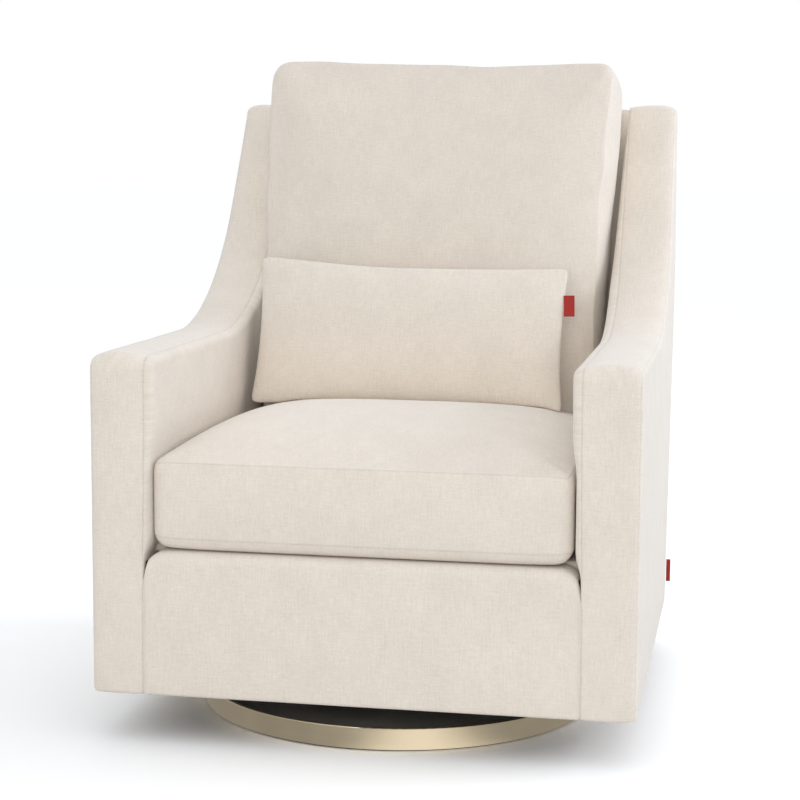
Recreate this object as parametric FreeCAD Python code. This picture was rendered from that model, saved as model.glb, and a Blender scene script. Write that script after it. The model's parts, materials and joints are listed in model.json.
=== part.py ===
import FreeCAD, Part
import math
import os

from FreeCAD import Placement, Rotation, Vector

# Swivel rocker: an upholstered armchair on a round swivel base, with a sprung rocking joint.
# Millimetres. X is to the right as seen from the front, Y is to the rear, Z is up.
# The origin is on the floor, on the swivel axis. Left is -X and right is +X.

# Upholstered body
BODY_WIDTH = 750.0
BODY_FRONT_Y = -312.0
BODY_FOOT_Y = 402.0
BACK_LEAN = 10.75
BODY_GAP = 37.0

# Arms and wings
ARM_WIDTH = 75.5
ARM_TOP_Z = 534.0
ARM_FRONT_ROUND = 18.0
WING_TOP_Z = 880.0
WING_FOOT_Y = 290.0
WING_TOP_DEPTH = 58.0
SWEEP_RADIUS = 380.0
WING_TOP_ROUND = 12.0
BODY_FOOT_ROUND = 10.0
EDGE_ROUND = 6.0
ARM_PAD = 10.0
ARM_PAD_INSET = 8.0
ARM_PAD_ROUND = 5.0

# Upholstery over the frame
WALL_PAD = 12.0
DECK_TOP_Z = 269.7
DECK_PAD = 14.0
FRONT_RAIL_DROP = 2.7
FRONT_RAIL_DEPTH = 55.0
FRONT_RAIL_ROUND = 12.0
FRONT_RAIL_ROLL = 28.0
SOFT_CLEARANCE = 0.4

# Seat cushion
SEAT_FRONT_Y = -298.0
SEAT_DEPTH = 530.0
SEAT_BORDER = 120.0
SEAT_CROWN = 51.0
SEAT_BOW = 4.0
SEAT_CORNER = 15.0

# Back cushion
BACK_CUSHION_TOP = 866.0
BACK_CUSHION_BORDER = 146.0
BACK_CUSHION_CROWN = 33.0
BACK_CUSHION_DIP = 10.0
BACK_CUSHION_CORNER = 26.0

# Lumbar pillow
PILLOW_WIDTH = 496.0
PILLOW_HEIGHT = 233.0
PILLOW_THICKNESS = 108.0
PILLOW_EDGE = 6.0
PILLOW_EAR = 11.0
PILLOW_END_ROUND = 11.0
PILLOW_LEAN = 17.0
PILLOW_FOOT_Y = 150.0
PILLOW_CENTRE_X = -24.0

# How full the cushions stay towards their ends, and where their outlines are drawn
CUSHION_SQUARENESS = 2.4
CUSHION_END_ROUND = 0.8
CUSHION_STATIONS = (1.0, 0.96, 0.8, 0.5, 0.25)
CUSHION_END_ANGLES = (90, 60, 30)

# Woven tabs
TAB_THICKNESS = 1.2
PILLOW_TAB_WIDTH = 16.0
PILLOW_TAB_HEIGHT = 36.0
PILLOW_TAB_FOOT = 154.0
SIDE_TAB_WIDTH = 22.0
SIDE_TAB_HEIGHT = 27.0
SIDE_TAB_FOOT = 34.0
SIDE_TAB_INSET = 8.0

# Wooden frame
PANEL_THICKNESS = 15.0
RAIL_THICKNESS = 22.0
BATTEN_WIDTH = 50.0
POST_WIDTH = 50.0
POST_DEPTH = 30.0
BACK_SKIN = 4.0
BACK_PAD = 20.0
BACK_RAIL_HEIGHT = 60.0
BACK_FOOT_RAIL_HEIGHT = 110.0
BACK_FRAME_FOOT = 10.0
BACK_TOP_DROP = 4.0
BACK_TOP_ROUND = 14.0
REAR_RAIL_Y = 340.0
RECESS_MARGIN = 18.0
BLOCK_LEG = 60.0
BLOCK_HEIGHT = 60.0
BLOCK_FOOT_Z = 180.0
BOARD_WIDTH = 70.0
BOARD_THICKNESS = 22.0
BOARD_FOOT_Z = 150.0
DUST_COVER = 1.5
DUST_COVER_INNER_X = 172.0

# Webbing and seat springs
STRAP_WIDTH = 50.0
STRAP_THICKNESS = 2.0
STRAP_COUNT = 6
STRAP_FIRST = 160.0
STRAP_TOP_DROP = 29.0
SEAT_WIRE_RADIUS = 1.9
SEAT_SPRING_COUNT = 5
SEAT_SPRING_PITCH = 100.0
SEAT_SPRING_BAR = 36.0
SEAT_SPRING_BARS = 16
CLIP_PLATE = 2.0
CLIP_LENGTH = 24.0
CLIP_DEPTH = 12.0

# Round base
RING_RADIUS = 288.0
RING_WALL = 5.0
RING_HEIGHT = 30.0
RING_EDGE = 1.2
FLOOR_PAD = 2.0
FLOOR_PAD_WIDTH = 12.0
FLOOR_PAD_INSET = 4.0
PLATE_THICKNESS = 4.0
PLATE_DROP = 8.0
BASE_BAR_X = 152.0
BASE_BAR_WIDTH = 25.0
BASE_BAR_HEIGHT = 15.0

# Swivel bearing
RACE_INNER_RADIUS = 85.0
RACE_OUTER_RADIUS = 131.0
RACE_THICKNESS = 5.0
BALL_RADIUS = 4.0
BALL_COUNT = 24
BALL_TRACK_RADIUS = 108.0
BALL_RISE = 2.0
BALL_CLEARANCE = 0.05
CAGE_WIDTH = 14.0
CAGE_THICKNESS = 2.0
CAGE_CLEARANCE = 0.25
RACE_BOLT_TRACK = 119.6
RACE_BOLT_RADIUS = 3.0
RACE_BOLT_HEAD_RADIUS = 5.0
RACE_BOLT_HEAD = 2.5
RACE_BOLT_NUT = 5.0
RACE_BOLT_ANGLE = 20.0

# King bolt
KING_RADIUS = 8.0
KING_HEAD_RADIUS = 13.0
KING_HEAD = 8.0
KING_WASHER_RADIUS = 18.0
KING_WASHER = 2.0
KING_NUT = 9.0
KING_END = 3.0
BUSH_WALL = 4.0
BUSH_FLANGE = 3.0
BUSH_DROP = 3.0
RUNNING_CLEARANCE = 0.05
AXIAL_CLEARANCE = 0.3

# Carriage that turns on the bearing
CARRIAGE_HALF_X = 124.0
CARRIAGE_HALF_Y = 182.0
CARRIAGE_THICKNESS = 5.0
CHEEK_INNER_X = 118.0
CHEEK_THICKNESS = 5.0
CHEEK_FOOT = 70.0
CHEEK_HEAD_RADIUS = 16.0

# Rocking joint
PIVOT_Z = 110.0
PIN_RADIUS = 7.0
PIN_HEAD_RADIUS = 10.0
PIN_HEAD = 4.0
PIN_END = 4.0
PIN_BUSH_WALL = 3.0
PIN_BUSH_FLANGE = 2.7
PIN_BUSH_FLANGE_RADIUS = 13.0
PIN_BUSH_LENGTH = 7.0
ROCK_FORWARD = 5.0
ROCK_BACK = 6.0
RAIL_HALF_LENGTH = 200.0
RAIL_WEB = 5.0
RAIL_FLANGE_WIDTH = 40.0
RAIL_FLANGE = 4.0
RAIL_END_DEPTH = 18.0
RAIL_HUB_RADIUS = 18.0
BRIDGE_Y = 115.0
BRIDGE_WIDTH = 44.0
BRIDGE_THICKNESS = 5.0
STOP_X = 40.0
STOP_Y = 165.0
STOP_POST_RADIUS = 8.0
STOP_PAD_RADIUS = 12.0
STOP_PAD = 8.0
STOP_CLEARANCE = 0.3
MOUNT_BOLT_RADIUS = 3.0
MOUNT_BOLT_HEAD_RADIUS = 6.0
MOUNT_BOLT_HEAD = 4.0
MOUNT_BOLT_SPREAD = 30.0

# Rocking springs
SPRING_X = 80.0
SPRING_RADIUS = 19.25
SPRING_WIRE_RADIUS = 2.75
SPRING_TURNS = 5.5
SPRING_CLEARANCE = 0.3
CUP_RADIUS = 25.0
CUP_THICKNESS = 3.0
CUP_SPIGOT = 9.0

# Places worked out from the sizes above
RING_TOP_Z = FLOOR_PAD + RING_HEIGHT
BODY_FOOT_Z = RING_TOP_Z + BODY_GAP
OUTER_X = BODY_WIDTH / 2
SEAM_X = OUTER_X - ARM_WIDTH
PANEL_X = SEAM_X + WALL_PAD
ARM_INNER_X = SEAM_X - ARM_PAD
SOFT_HALF_WIDTH = ARM_INNER_X - SOFT_CLEARANCE
FRAME_FOOT_Z = BODY_FOOT_Z + WALL_PAD
FRONT_WOOD_Y = BODY_FRONT_Y + WALL_PAD
FRONT_RAIL_BACK_Y = BODY_FRONT_Y + FRONT_RAIL_DEPTH
DECK_FOOT_Z = DECK_TOP_Z - DECK_PAD
SEAT_WIRE_Z = DECK_FOOT_Z - SOFT_CLEARANCE - SEAT_WIRE_RADIUS
WOOD_RAIL_TOP_Z = SEAT_WIRE_Z - SEAT_WIRE_RADIUS - CLIP_PLATE
REAR_RAIL_BACK_Y = REAR_RAIL_Y + RAIL_THICKNESS
LEAN_SIN = math.sin(math.radians(BACK_LEAN))
LEAN_COS = math.cos(math.radians(BACK_LEAN))
POST_FRONT_W = -(BACK_SKIN + POST_DEPTH)
STRAP_FRONT_W = POST_FRONT_W - STRAP_THICKNESS
BACK_FACE_W = STRAP_FRONT_W - BACK_PAD
BACK_TOP_V = (WING_TOP_Z - BACK_TOP_DROP - BODY_FOOT_Z + BACK_FACE_W * LEAN_SIN) / LEAN_COS
BACK_WOOD_TOP_V = BACK_TOP_V - WALL_PAD
STRAP_PITCH = (BACK_WOOD_TOP_V - STRAP_TOP_DROP - STRAP_WIDTH - STRAP_FIRST) / (STRAP_COUNT - 1)

PLATE_TOP_Z = RING_TOP_Z - PLATE_DROP
PLATE_FOOT_Z = PLATE_TOP_Z - PLATE_THICKNESS
PLATE_RADIUS = RING_RADIUS - RING_WALL
LOWER_RACE_TOP_Z = PLATE_TOP_Z + RACE_THICKNESS
BALL_Z = LOWER_RACE_TOP_Z + BALL_RISE
UPPER_RACE_FOOT_Z = BALL_Z + BALL_RISE
CARRIAGE_FOOT_Z = UPPER_RACE_FOOT_Z + RACE_THICKNESS
CARRIAGE_TOP_Z = CARRIAGE_FOOT_Z + CARRIAGE_THICKNESS
BUSH_RADIUS = KING_RADIUS + BUSH_WALL
BUSH_TOP_Z = CARRIAGE_TOP_Z + BUSH_FLANGE
KING_WASHER_Z = BUSH_TOP_Z + AXIAL_CLEARANCE
KING_NUT_Z = KING_WASHER_Z + KING_WASHER
KING_TOP_Z = KING_NUT_Z + KING_NUT + KING_END

CHEEK_OUTER_X = CHEEK_INNER_X + CHEEK_THICKNESS
RAIL_INNER_X = CHEEK_OUTER_X + AXIAL_CLEARANCE + PIN_BUSH_FLANGE
RAIL_OUTER_X = RAIL_INNER_X + RAIL_WEB
FLANGE_FOOT_Z = BOARD_FOOT_Z - RAIL_FLANGE
BRIDGE_FOOT_Z = FLANGE_FOOT_Z - BRIDGE_THICKNESS
LOWER_CUP_TOP_Z = CARRIAGE_TOP_Z + CUP_THICKNESS
UPPER_CUP_FOOT_Z = BRIDGE_FOOT_Z - CUP_THICKNESS
BOLT_X = RAIL_OUTER_X + RAIL_FLANGE_WIDTH / 2

SIDES = {"left": -1, "right": 1}
ENDS = {"front": -1, "rear": 1}
PLANE_TOLERANCE = 0.01


def line(a, b):
    return Part.LineSegment(a, b).toShape()


def arc(a, through, b):
    return Part.Arc(a, through, b).toShape()


def box(x0, x1, y0, y1, z0, z1):
    low = Vector(min(x0, x1), min(y0, y1), min(z0, z1))
    return Part.makeBox(abs(x1 - x0), abs(y1 - y0), abs(z1 - z0), low)


def post(radius, x, y, z0, z1):
    return Part.makeCylinder(radius, z1 - z0, Vector(x, y, z0))


def ring(outer, inner, z0, z1):
    return post(outer, 0, 0, z0, z1).cut(post(inner, 0, 0, z0, z1))


def cross_pin(radius, x0, x1, y, z):
    start = Vector(min(x0, x1), y, z)
    return Part.makeCylinder(radius, abs(x1 - x0), start, Vector(1, 0, 0))


def hexagon(radius, z0, z1):
    corners = [Vector(radius * math.cos(math.radians(60 * i)), radius * math.sin(math.radians(60 * i)), z0)
               for i in range(7)]
    return Part.Face(Part.makePolygon(corners)).extrude(Vector(0, 0, z1 - z0))


def lean_place(shape):
    """Moves a shape made as (x, depth behind the back, height up the back) to the leaning back."""
    shape.Placement = Placement(Vector(0, BODY_FOOT_Y, BODY_FOOT_Z), Rotation(Vector(1, 0, 0), -BACK_LEAN))
    return shape


def lean_box(x0, x1, w0, w1, v0, v1):
    return lean_place(box(x0, x1, w0, w1, v0, v1))


def rounded_edges(corners):
    """Edges of a closed outline in the YZ plane, from corners given as (y, z, radius)."""
    count = len(corners)
    starts = []
    arcs = []
    for i, (y, z, radius) in enumerate(corners):
        here = Vector(0, y, z)
        before = Vector(0, *corners[i - 1][:2]) - here
        after = Vector(0, *corners[(i + 1) % count][:2]) - here
        before.normalize()
        after.normalize()
        half_angle = before.getAngle(after) / 2
        reach = radius / math.tan(half_angle)
        enter = here + before * reach
        leave = here + after * reach
        middle = before + after
        middle.normalize()
        through = here + middle * (radius / math.sin(half_angle) - radius)
        starts.append((enter, leave))
        arcs.append(arc(enter, through, leave) if radius > 0 else None)
    edges = []
    for i in range(count):
        if arcs[i]:
            edges.append(arcs[i])
        edges.append(line(starts[i][1], starts[(i + 1) % count][0]))
    return edges


def prism_x(corners, x0, x1):
    """Solid with a YZ outline, running across from x0 to x1."""
    face = Part.Face(Part.Wire(rounded_edges(corners)))
    low = min(x0, x1)
    face.translate(Vector(low, 0, 0))
    return face.extrude(Vector(abs(x1 - x0), 0, 0))


def inset(corners, distance):
    """The same closed outline moved inwards, with its rounds kept concentric."""
    count = len(corners)
    result = []
    for i, (y, z, radius) in enumerate(corners):
        before = Vector(y - corners[i - 1][0], z - corners[i - 1][1], 0)
        after = Vector(corners[(i + 1) % count][0] - y, corners[(i + 1) % count][1] - z, 0)
        before.normalize()
        after.normalize()
        turn = before.x * after.y - before.y * after.x
        spread = (before.dot(after) + 1)
        shift = Vector(before.y + after.y, -before.x - after.x, 0) * (distance / spread)
        inner_radius = radius - distance if turn < 0 else radius + distance
        result.append((y + shift.x, z + shift.y, max(inner_radius, 1.0)))
    return result


def arm_outline():
    """Side outline of an arm with its wing, clockwise from the foot of the front."""
    wing_back_y = BODY_FOOT_Y + (WING_TOP_Z - BODY_FOOT_Z) * LEAN_SIN / LEAN_COS
    wing_front_y = wing_back_y - WING_TOP_DEPTH
    return [
        (BODY_FRONT_Y, BODY_FOOT_Z, BODY_FOOT_ROUND),
        (BODY_FRONT_Y, ARM_TOP_Z, ARM_FRONT_ROUND),
        (WING_FOOT_Y, ARM_TOP_Z, SWEEP_RADIUS),
        (wing_front_y, WING_TOP_Z, WING_TOP_ROUND),
        (wing_back_y, WING_TOP_Z, WING_TOP_ROUND),
        (BODY_FOOT_Y, BODY_FOOT_Z, BODY_FOOT_ROUND),
    ]


def edges_at_x(shape, x):
    """The edges of a shape that lie in the plane at x."""
    found = []
    for edge in shape.Edges:
        bounds = edge.BoundBox
        if abs(bounds.XMin - x) < PLANE_TOLERANCE and abs(bounds.XMax - x) < PLANE_TOLERANCE:
            found.append(edge)
    return found


def frame_recess(side):
    """Space inside the arm's inner wall, below the deck, where the wooden rails reach the side panel."""
    return box(side * SEAM_X, side * PANEL_X, FRONT_WOOD_Y, REAR_RAIL_BACK_Y + RECESS_MARGIN,
               FRAME_FOOT_Z, DECK_FOOT_Z)


def arm_cover(side):
    shell = prism_x(arm_outline(), side * SEAM_X, side * OUTER_X)
    rims = edges_at_x(shell, side * SEAM_X) + edges_at_x(shell, side * OUTER_X)
    shell = shell.makeFillet(EDGE_ROUND, rims)
    hollow = prism_x(inset(arm_outline(), WALL_PAD), side * PANEL_X, side * (OUTER_X - WALL_PAD))
    return shell.cut(hollow).cut(frame_recess(side))


def arm_inner_pad(side):
    """Padded panel on the inside of an arm, from the deck to the top of the wing."""
    pad = prism_x(inset(arm_outline(), ARM_PAD_INSET), side * ARM_INNER_X, side * SEAM_X)
    pad = pad.makeFillet(ARM_PAD_ROUND, edges_at_x(pad, side * ARM_INNER_X))
    below = box(side * ARM_INNER_X, side * SEAM_X, BODY_FRONT_Y, BODY_FOOT_Y, BODY_FOOT_Z, DECK_TOP_Z)
    behind = lean_box(-OUTER_X, OUTER_X, BACK_FACE_W, BODY_WIDTH, -WING_TOP_Z, WING_TOP_Z * 2)
    return pad.cut(below).cut(behind)


def arm_panels(side):
    """The inner and the outer plywood panel of one arm."""
    outline = inset(arm_outline(), WALL_PAD)
    outer_face = OUTER_X - WALL_PAD
    inner = prism_x(outline, side * PANEL_X, side * (PANEL_X + PANEL_THICKNESS))
    outer = prism_x(outline, side * (outer_face - PANEL_THICKNESS), side * outer_face)
    return Part.makeCompound([inner, outer])


def arm_battens(side):
    """Front, foot and rear battens that hold the two panels of one arm apart."""
    x0 = side * (PANEL_X + PANEL_THICKNESS)
    x1 = side * (OUTER_X - WALL_PAD - PANEL_THICKNESS)
    core = prism_x(inset(arm_outline(), WALL_PAD), x0, x1)
    front_back_y = FRONT_WOOD_Y + BATTEN_WIDTH
    rear_front_y = REAR_RAIL_Y - BATTEN_WIDTH / 2
    front = core.common(box(x0, x1, FRONT_WOOD_Y, front_back_y, BODY_FOOT_Z, ARM_TOP_Z))
    foot = core.common(box(x0, x1, front_back_y, rear_front_y, BODY_FOOT_Z, FRAME_FOOT_Z + BATTEN_WIDTH))
    rear = core.common(box(x0, x1, rear_front_y, rear_front_y + BATTEN_WIDTH, BODY_FOOT_Z, WING_TOP_Z))
    return Part.makeCompound([front, foot, rear])


def front_rail():
    return box(-PANEL_X, PANEL_X, FRONT_WOOD_Y, FRONT_WOOD_Y + RAIL_THICKNESS, FRAME_FOOT_Z, WOOD_RAIL_TOP_Z)


def rear_rail():
    return box(-PANEL_X, PANEL_X, REAR_RAIL_Y, REAR_RAIL_BACK_Y, FRAME_FOOT_Z, WOOD_RAIL_TOP_Z)


def front_rail_cover():
    """Upholstered front rail: its top edge rolls back, and both ends roll down to the arms."""
    top_z = DECK_TOP_Z - FRONT_RAIL_DROP
    side_view = [
        (BODY_FRONT_Y, BODY_FOOT_Z, 0),
        (BODY_FRONT_Y, top_z, FRONT_RAIL_ROUND),
        (FRONT_RAIL_BACK_Y, top_z, 0),
        (FRONT_RAIL_BACK_Y, BODY_FOOT_Z, 0),
    ]
    front_view = [
        (-SEAM_X, BODY_FOOT_Z, 0),
        (-SEAM_X, top_z, FRONT_RAIL_ROLL),
        (SEAM_X, top_z, FRONT_RAIL_ROLL),
        (SEAM_X, BODY_FOOT_Z, 0),
    ]
    roll = prism_x(front_view, 0, FRONT_RAIL_DEPTH)
    roll.Placement = Placement(Vector(0, FRONT_RAIL_BACK_Y, 0), Rotation(Vector(0, 0, 1), -90))
    hollow = box(-SEAM_X, SEAM_X, FRONT_WOOD_Y, FRONT_RAIL_BACK_Y, FRAME_FOOT_Z, DECK_FOOT_Z)
    return prism_x(side_view, -SEAM_X, SEAM_X).common(roll).cut(hollow)


def corner_blocks():
    """Four glued blocks in the corners between the rails and the side panels."""
    blocks = []
    for side in SIDES.values():
        for y, direction in ((FRONT_WOOD_Y + RAIL_THICKNESS, 1), (REAR_RAIL_Y, -1)):
            corner = Vector(side * PANEL_X, y, BLOCK_FOOT_Z)
            along_x = corner - Vector(side * BLOCK_LEG, 0, 0)
            along_y = corner + Vector(0, direction * BLOCK_LEG, 0)
            face = Part.Face(Part.makePolygon([corner, along_x, along_y, corner]))
            blocks.append(face.extrude(Vector(0, 0, BLOCK_HEIGHT)))
    return Part.makeCompound(blocks)


def back_post(side):
    return lean_box(side * (SEAM_X - POST_WIDTH), side * SEAM_X, POST_FRONT_W, -BACK_SKIN,
                    BACK_FRAME_FOOT, BACK_WOOD_TOP_V)


def back_rail(v0, height):
    reach = SEAM_X - POST_WIDTH
    return lean_box(-reach, reach, POST_FRONT_W, -BACK_SKIN, v0, v0 + height)


def back_webbing():
    straps = []
    for i in range(STRAP_COUNT):
        v0 = STRAP_FIRST + i * STRAP_PITCH
        straps.append(lean_box(-SEAM_X, SEAM_X, STRAP_FRONT_W, POST_FRONT_W, v0, v0 + STRAP_WIDTH))
    return Part.makeCompound(straps)


def inside_back_pad():
    """Padded panel behind the back cushion, which wraps over the top rail to the rear."""
    foot_v = (DECK_TOP_Z - BODY_FOOT_Z + BACK_FACE_W * LEAN_SIN) / LEAN_COS
    outline = [
        (BACK_FACE_W, foot_v, 0),
        (BACK_FACE_W, BACK_TOP_V, BACK_TOP_ROUND),
        (0, BACK_TOP_V, BACK_TOP_ROUND / 2),
        (0, BACK_WOOD_TOP_V, 0),
        (STRAP_FRONT_W, BACK_WOOD_TOP_V, 0),
        (STRAP_FRONT_W, foot_v, 0),
    ]
    return lean_place(prism_x(outline, -SEAM_X, SEAM_X))


def outside_back_cover():
    return lean_box(-SEAM_X, SEAM_X, -BACK_SKIN, 0, 0, BACK_WOOD_TOP_V)


def deck_pad():
    back_y = BODY_FOOT_Y + (DECK_FOOT_Z - BODY_FOOT_Z) * LEAN_SIN / LEAN_COS + BACK_FACE_W / LEAN_COS
    return box(-SEAM_X, SEAM_X, FRONT_RAIL_BACK_Y, back_y, DECK_FOOT_Z, DECK_TOP_Z)


def dust_cover(side):
    return box(side * DUST_COVER_INNER_X, side * SEAM_X, FRONT_RAIL_BACK_Y, REAR_RAIL_BACK_Y,
               FRAME_FOOT_Z - DUST_COVER, FRAME_FOOT_Z)


def seat_spring_ends():
    """Y of the first and the last bar of a seat spring, over the middle of each wooden rail."""
    return FRONT_WOOD_Y + RAIL_THICKNESS / 2, REAR_RAIL_Y + RAIL_THICKNESS / 2


def seat_spring_xs():
    middle = (SEAT_SPRING_COUNT - 1) / 2
    return [(i - middle) * SEAT_SPRING_PITCH for i in range(SEAT_SPRING_COUNT)]


def seat_spring(x):
    """One flat zigzag spring of round wire, with straight bars joined by half turns."""
    first_y, last_y = seat_spring_ends()
    pitch = (last_y - first_y) / SEAT_SPRING_BARS
    half = SEAT_SPRING_BAR / 2
    path = []
    for i in range(SEAT_SPRING_BARS + 1):
        way = 1 if i % 2 == 0 else -1
        y = first_y + i * pitch
        end = Vector(x + way * half, y, SEAT_WIRE_Z)
        path.append(line(Vector(x - way * half, y, SEAT_WIRE_Z), end))
        if i < SEAT_SPRING_BARS:
            through = end + Vector(way * pitch / 2, pitch / 2, 0)
            path.append(arc(end, through, end + Vector(0, pitch, 0)))
    start = Vector(x - half, first_y, SEAT_WIRE_Z)
    section = Part.Wire(Part.makeCircle(SEAT_WIRE_RADIUS, start, Vector(1, 0, 0)))
    return Part.Wire(path).makePipeShell([section], True, False)


def seat_springs():
    return Part.makeCompound([seat_spring(x) for x in seat_spring_xs()])


def spring_clips():
    """Saddles that seat the end bars of the seat springs on the wooden rails."""
    clips = []
    for x in seat_spring_xs():
        for y in seat_spring_ends():
            body = box(x - CLIP_LENGTH / 2, x + CLIP_LENGTH / 2, y - CLIP_DEPTH / 2, y + CLIP_DEPTH / 2,
                       WOOD_RAIL_TOP_Z, SEAT_WIRE_Z)
            wire = cross_pin(SEAT_WIRE_RADIUS, x - CLIP_LENGTH, x + CLIP_LENGTH, y, SEAT_WIRE_Z)
            clips.append(body.cut(wire))
    return Part.makeCompound(clips)


def mount_board(end):
    """Board across the body that stands on the two rocker rails, with its bolt holes."""
    middle = end * STOP_Y
    board = box(-PANEL_X, PANEL_X, middle - BOARD_WIDTH / 2, middle + BOARD_WIDTH / 2,
                BOARD_FOOT_Z, BOARD_FOOT_Z + BOARD_THICKNESS)
    for x, y in mount_bolt_places(end):
        board = board.cut(post(MOUNT_BOLT_RADIUS, x, y, BOARD_FOOT_Z, BOARD_FOOT_Z + BOARD_THICKNESS))
    return board


def mount_bolt_places(end):
    places = []
    for side in SIDES.values():
        for offset in (-MOUNT_BOLT_SPREAD / 2, MOUNT_BOLT_SPREAD / 2):
            places.append((side * BOLT_X, end * STOP_Y + offset))
    return places


def mount_bolts():
    bolts = []
    for end in ENDS.values():
        for x, y in mount_bolt_places(end):
            shank = post(MOUNT_BOLT_RADIUS, x, y, FLANGE_FOOT_Z, BOARD_FOOT_Z + BOARD_THICKNESS)
            head = post(MOUNT_BOLT_HEAD_RADIUS, x, y, FLANGE_FOOT_Z - MOUNT_BOLT_HEAD, FLANGE_FOOT_Z)
            bolts.append(shank.fuse(head).removeSplitter())
    return Part.makeCompound(bolts)


def floor_pad_ring():
    outer = RING_RADIUS - FLOOR_PAD_INSET
    return ring(outer, outer - FLOOR_PAD_WIDTH, 0, FLOOR_PAD)


def base_ring():
    hoop = ring(RING_RADIUS, PLATE_RADIUS, FLOOR_PAD, RING_TOP_Z)
    rims = []
    for edge in hoop.Edges:
        flat = edge.BoundBox.ZLength < PLANE_TOLERANCE
        if flat and abs(edge.BoundBox.ZMin - RING_TOP_Z) < PLANE_TOLERANCE:
            rims.append(edge)
    return hoop.makeFillet(RING_EDGE, rims)


def race_bolt_places(first_angle):
    places = []
    for quarter in (first_angle, 180 - first_angle, 180 + first_angle, 360 - first_angle):
        angle = math.radians(quarter)
        places.append((RACE_BOLT_TRACK * math.cos(angle), RACE_BOLT_TRACK * math.sin(angle)))
    return places


def base_plate():
    plate = post(PLATE_RADIUS, 0, 0, PLATE_FOOT_Z, PLATE_TOP_Z)
    plate = plate.cut(post(KING_RADIUS, 0, 0, PLATE_FOOT_Z, PLATE_TOP_Z))
    for x, y in race_bolt_places(RACE_BOLT_ANGLE):
        plate = plate.cut(post(RACE_BOLT_RADIUS, x, y, PLATE_FOOT_Z, PLATE_TOP_Z))
    return plate


def base_bars():
    """Two stiffening bars under the plate, cut to the curve of the ring."""
    bore = post(PLATE_RADIUS, 0, 0, PLATE_FOOT_Z - BASE_BAR_HEIGHT, PLATE_FOOT_Z)
    bars = []
    for side in SIDES.values():
        bar = box(side * (BASE_BAR_X - BASE_BAR_WIDTH / 2), side * (BASE_BAR_X + BASE_BAR_WIDTH / 2),
                  -PLATE_RADIUS, PLATE_RADIUS, PLATE_FOOT_Z - BASE_BAR_HEIGHT, PLATE_FOOT_Z)
        bars.append(bar.common(bore))
    return Part.makeCompound(bars)


def ball_groove():
    return Part.makeTorus(BALL_TRACK_RADIUS, BALL_RADIUS + BALL_CLEARANCE, Vector(0, 0, BALL_Z))


def lower_race():
    race = ring(RACE_OUTER_RADIUS, RACE_INNER_RADIUS, PLATE_TOP_Z, LOWER_RACE_TOP_Z).cut(ball_groove())
    for x, y in race_bolt_places(RACE_BOLT_ANGLE):
        race = race.cut(post(RACE_BOLT_RADIUS, x, y, PLATE_TOP_Z, LOWER_RACE_TOP_Z))
        head_z = LOWER_RACE_TOP_Z - RACE_BOLT_HEAD
        race = race.cut(post(RACE_BOLT_HEAD_RADIUS, x, y, head_z, LOWER_RACE_TOP_Z))
    return race


def base_bolts():
    """Flush bolts that hold the lower race to the plate, each with its nut below."""
    bolts = []
    for x, y in race_bolt_places(RACE_BOLT_ANGLE):
        shank = post(RACE_BOLT_RADIUS, x, y, PLATE_FOOT_Z, LOWER_RACE_TOP_Z)
        head = post(RACE_BOLT_HEAD_RADIUS, x, y, LOWER_RACE_TOP_Z - RACE_BOLT_HEAD, LOWER_RACE_TOP_Z)
        nut = post(RACE_BOLT_HEAD_RADIUS, x, y, PLATE_FOOT_Z - RACE_BOLT_NUT, PLATE_FOOT_Z)
        bolts.append(shank.fuse([head, nut]).removeSplitter())
    return Part.makeCompound(bolts)


def king_bolt():
    head = hexagon(KING_HEAD_RADIUS, PLATE_FOOT_Z - KING_HEAD, PLATE_FOOT_Z)
    shank = post(KING_RADIUS, 0, 0, PLATE_FOOT_Z - KING_HEAD, KING_TOP_Z)
    return head.fuse(shank).removeSplitter()


def king_nut_and_washer():
    top = KING_NUT_Z + KING_NUT
    washer = ring(KING_WASHER_RADIUS, KING_RADIUS, KING_WASHER_Z, KING_NUT_Z)
    nut = hexagon(KING_HEAD_RADIUS, KING_NUT_Z, top).cut(post(KING_RADIUS, 0, 0, KING_NUT_Z, top))
    return Part.makeCompound([washer, nut])


def ball_places():
    places = []
    for i in range(BALL_COUNT):
        angle = math.radians(360.0 * i / BALL_COUNT)
        x = BALL_TRACK_RADIUS * math.cos(angle)
        y = BALL_TRACK_RADIUS * math.sin(angle)
        places.append(Vector(x, y, BALL_Z))
    return places


def bearing_balls():
    return Part.makeCompound([Part.makeSphere(BALL_RADIUS, place) for place in ball_places()])


def ball_cage():
    low = BALL_Z - CAGE_THICKNESS / 2
    high = BALL_Z + CAGE_THICKNESS / 2
    cage = ring(BALL_TRACK_RADIUS + CAGE_WIDTH / 2, BALL_TRACK_RADIUS - CAGE_WIDTH / 2, low, high)
    for place in ball_places():
        cage = cage.cut(post(BALL_RADIUS + CAGE_CLEARANCE, place.x, place.y, low, high))
    return cage


def upper_race():
    race = ring(RACE_OUTER_RADIUS, RACE_INNER_RADIUS, UPPER_RACE_FOOT_Z, CARRIAGE_FOOT_Z).cut(ball_groove())
    for x, y in race_bolt_places(90 - RACE_BOLT_ANGLE):
        race = race.cut(post(RACE_BOLT_RADIUS, x, y, CARRIAGE_FOOT_Z - RACE_BOLT_HEAD, CARRIAGE_FOOT_Z))
    return race


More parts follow.
